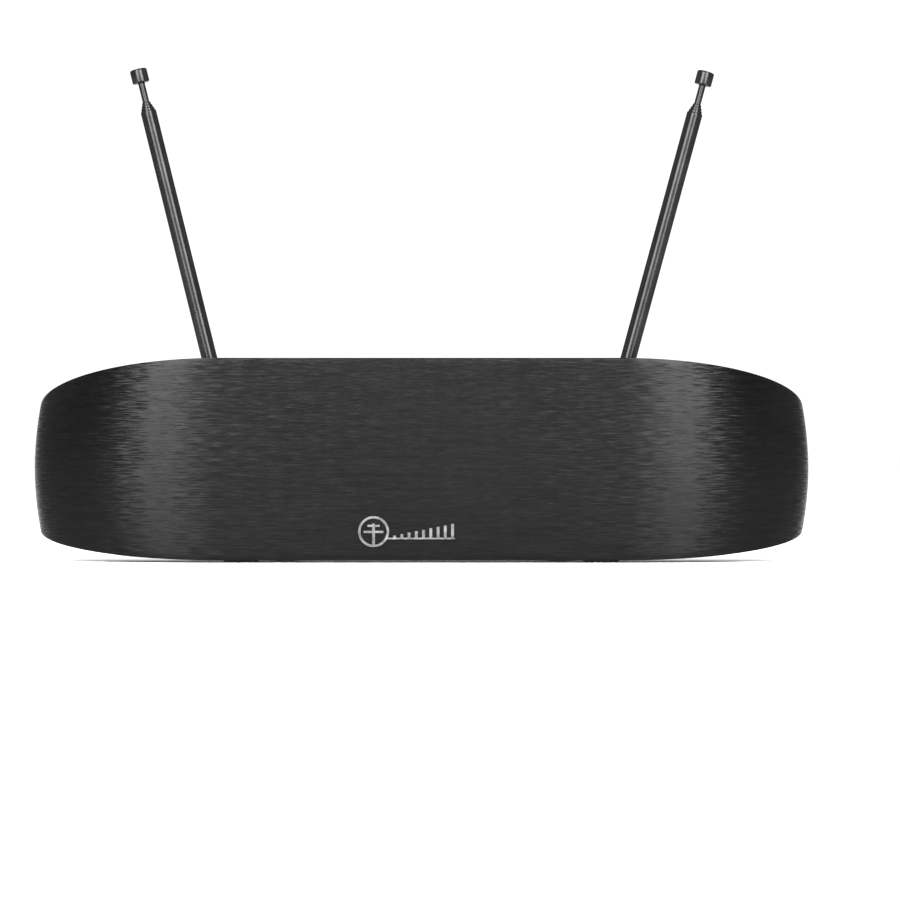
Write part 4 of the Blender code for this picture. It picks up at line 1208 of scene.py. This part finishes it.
def ease(value, start, end):
    t = min(max((value - start) / (end - start), 0.0), 1.0)
    return t * t * (3 - 2 * t)


def coil_points():
    """The wound turns: each layer spirals in or out by one turn's width where the tie holds it.

    The lead climbs to the next layer on the far side.
    """
    centre = place(COIL_X, COIL_DEPTH, 0)
    shifts = COIL_LEVELS * (COIL_ACROSS - 1)
    last = 360 * (shifts - 1) + COIL_EXIT
    points = []
    turn = COIL_ENTRY
    while turn <= last + 1e-6:
        column, level = 0.0, 0.0
        for k in range(shifts):
            at = SHIFT_AT + 360 * k
            inwards = 1 if (k // (COIL_ACROSS - 1)) % 2 == 0 else -1
            column += inwards * ease(turn, at - SHIFT_SPREAD, at + SHIFT_SPREAD)
        for k in range(1, COIL_LEVELS):
            at = SHIFT_AT + 360 * (k * (COIL_ACROSS - 1) - 1) + 180
            level += ease(turn, at - SHIFT_SPREAD, at + SHIFT_SPREAD)
        radius = COIL_MEAN_RADIUS + ((COIL_ACROSS - 1) / 2 - column) * CABLE
        z = COIL_LIFT + (0.5 + level) * CABLE
        angle = math.radians(turn)
        points.append(centre + Vector((radius * math.cos(angle), radius * math.sin(angle), z)))
        turn += COIL_STEP
    return points


def cord_curve(name, points):
    """A round cord along the points, riding on the bar."""
    curve = bpy.data.curves.new(name, "CURVE")
    curve.dimensions = "3D"
    curve.bevel_depth = CABLE / 2
    curve.bevel_resolution = 6
    curve.use_fill_caps = True
    curve.materials.append(M["cable_jacket"])
    spline = curve.splines.new("POLY")
    spline.points.add(len(points) - 1)
    for point, at in zip(spline.points, points):
        point.co = (*at, 1)
    obj = bpy.data.objects.new(name, curve)
    bpy.context.scene.collection.objects.link(obj)
    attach(obj, "bar")
    return obj


def make_cords():
    """The lead from the jack to the box, and the one from the box through the coil to its plug."""
    lead_in = smooth_route(LEAD_IN_ROUTE)
    cord = cord_curve("lead_in_cord", lead_in)
    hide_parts("lead_in")

    lead_out = [*smooth_route(LEAD_OUT_ROUTE), *coil_points(), *smooth_route(TAIL_ROUTE)]
    cord = cord_curve("lead_out_cord", lead_out)
    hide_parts("lead_out", "lead_coil", "lead_tail")


# ---- kept CAD nodes


def finish_kept_nodes():
    """Gives a procedural material to every CAD node that nothing replaces."""
    slots = {row["node"]: row["material_slot"] for row in frame["record"]["subparts"]}
    for name, obj in frame["nodes"].items():
        if obj.hide_render:
            continue
        obj.data.materials.clear()
        obj.data.materials.append(M[slots[name]])


# ---- assembly

make_camera()
make_world()
make_lights()
make_stage(studio_floor())
make_skin_and_housing()
make_cover()
make_cover_screws()
make_badge()
make_jack()
make_front_pads()
make_swing_feet()
for side in SIDES:
    make_turret(side)
    make_rod(side)
relief = make_amplifier()
tail = [*make_plugs(), make_tie()]
make_cords()
finish_kept_nodes()
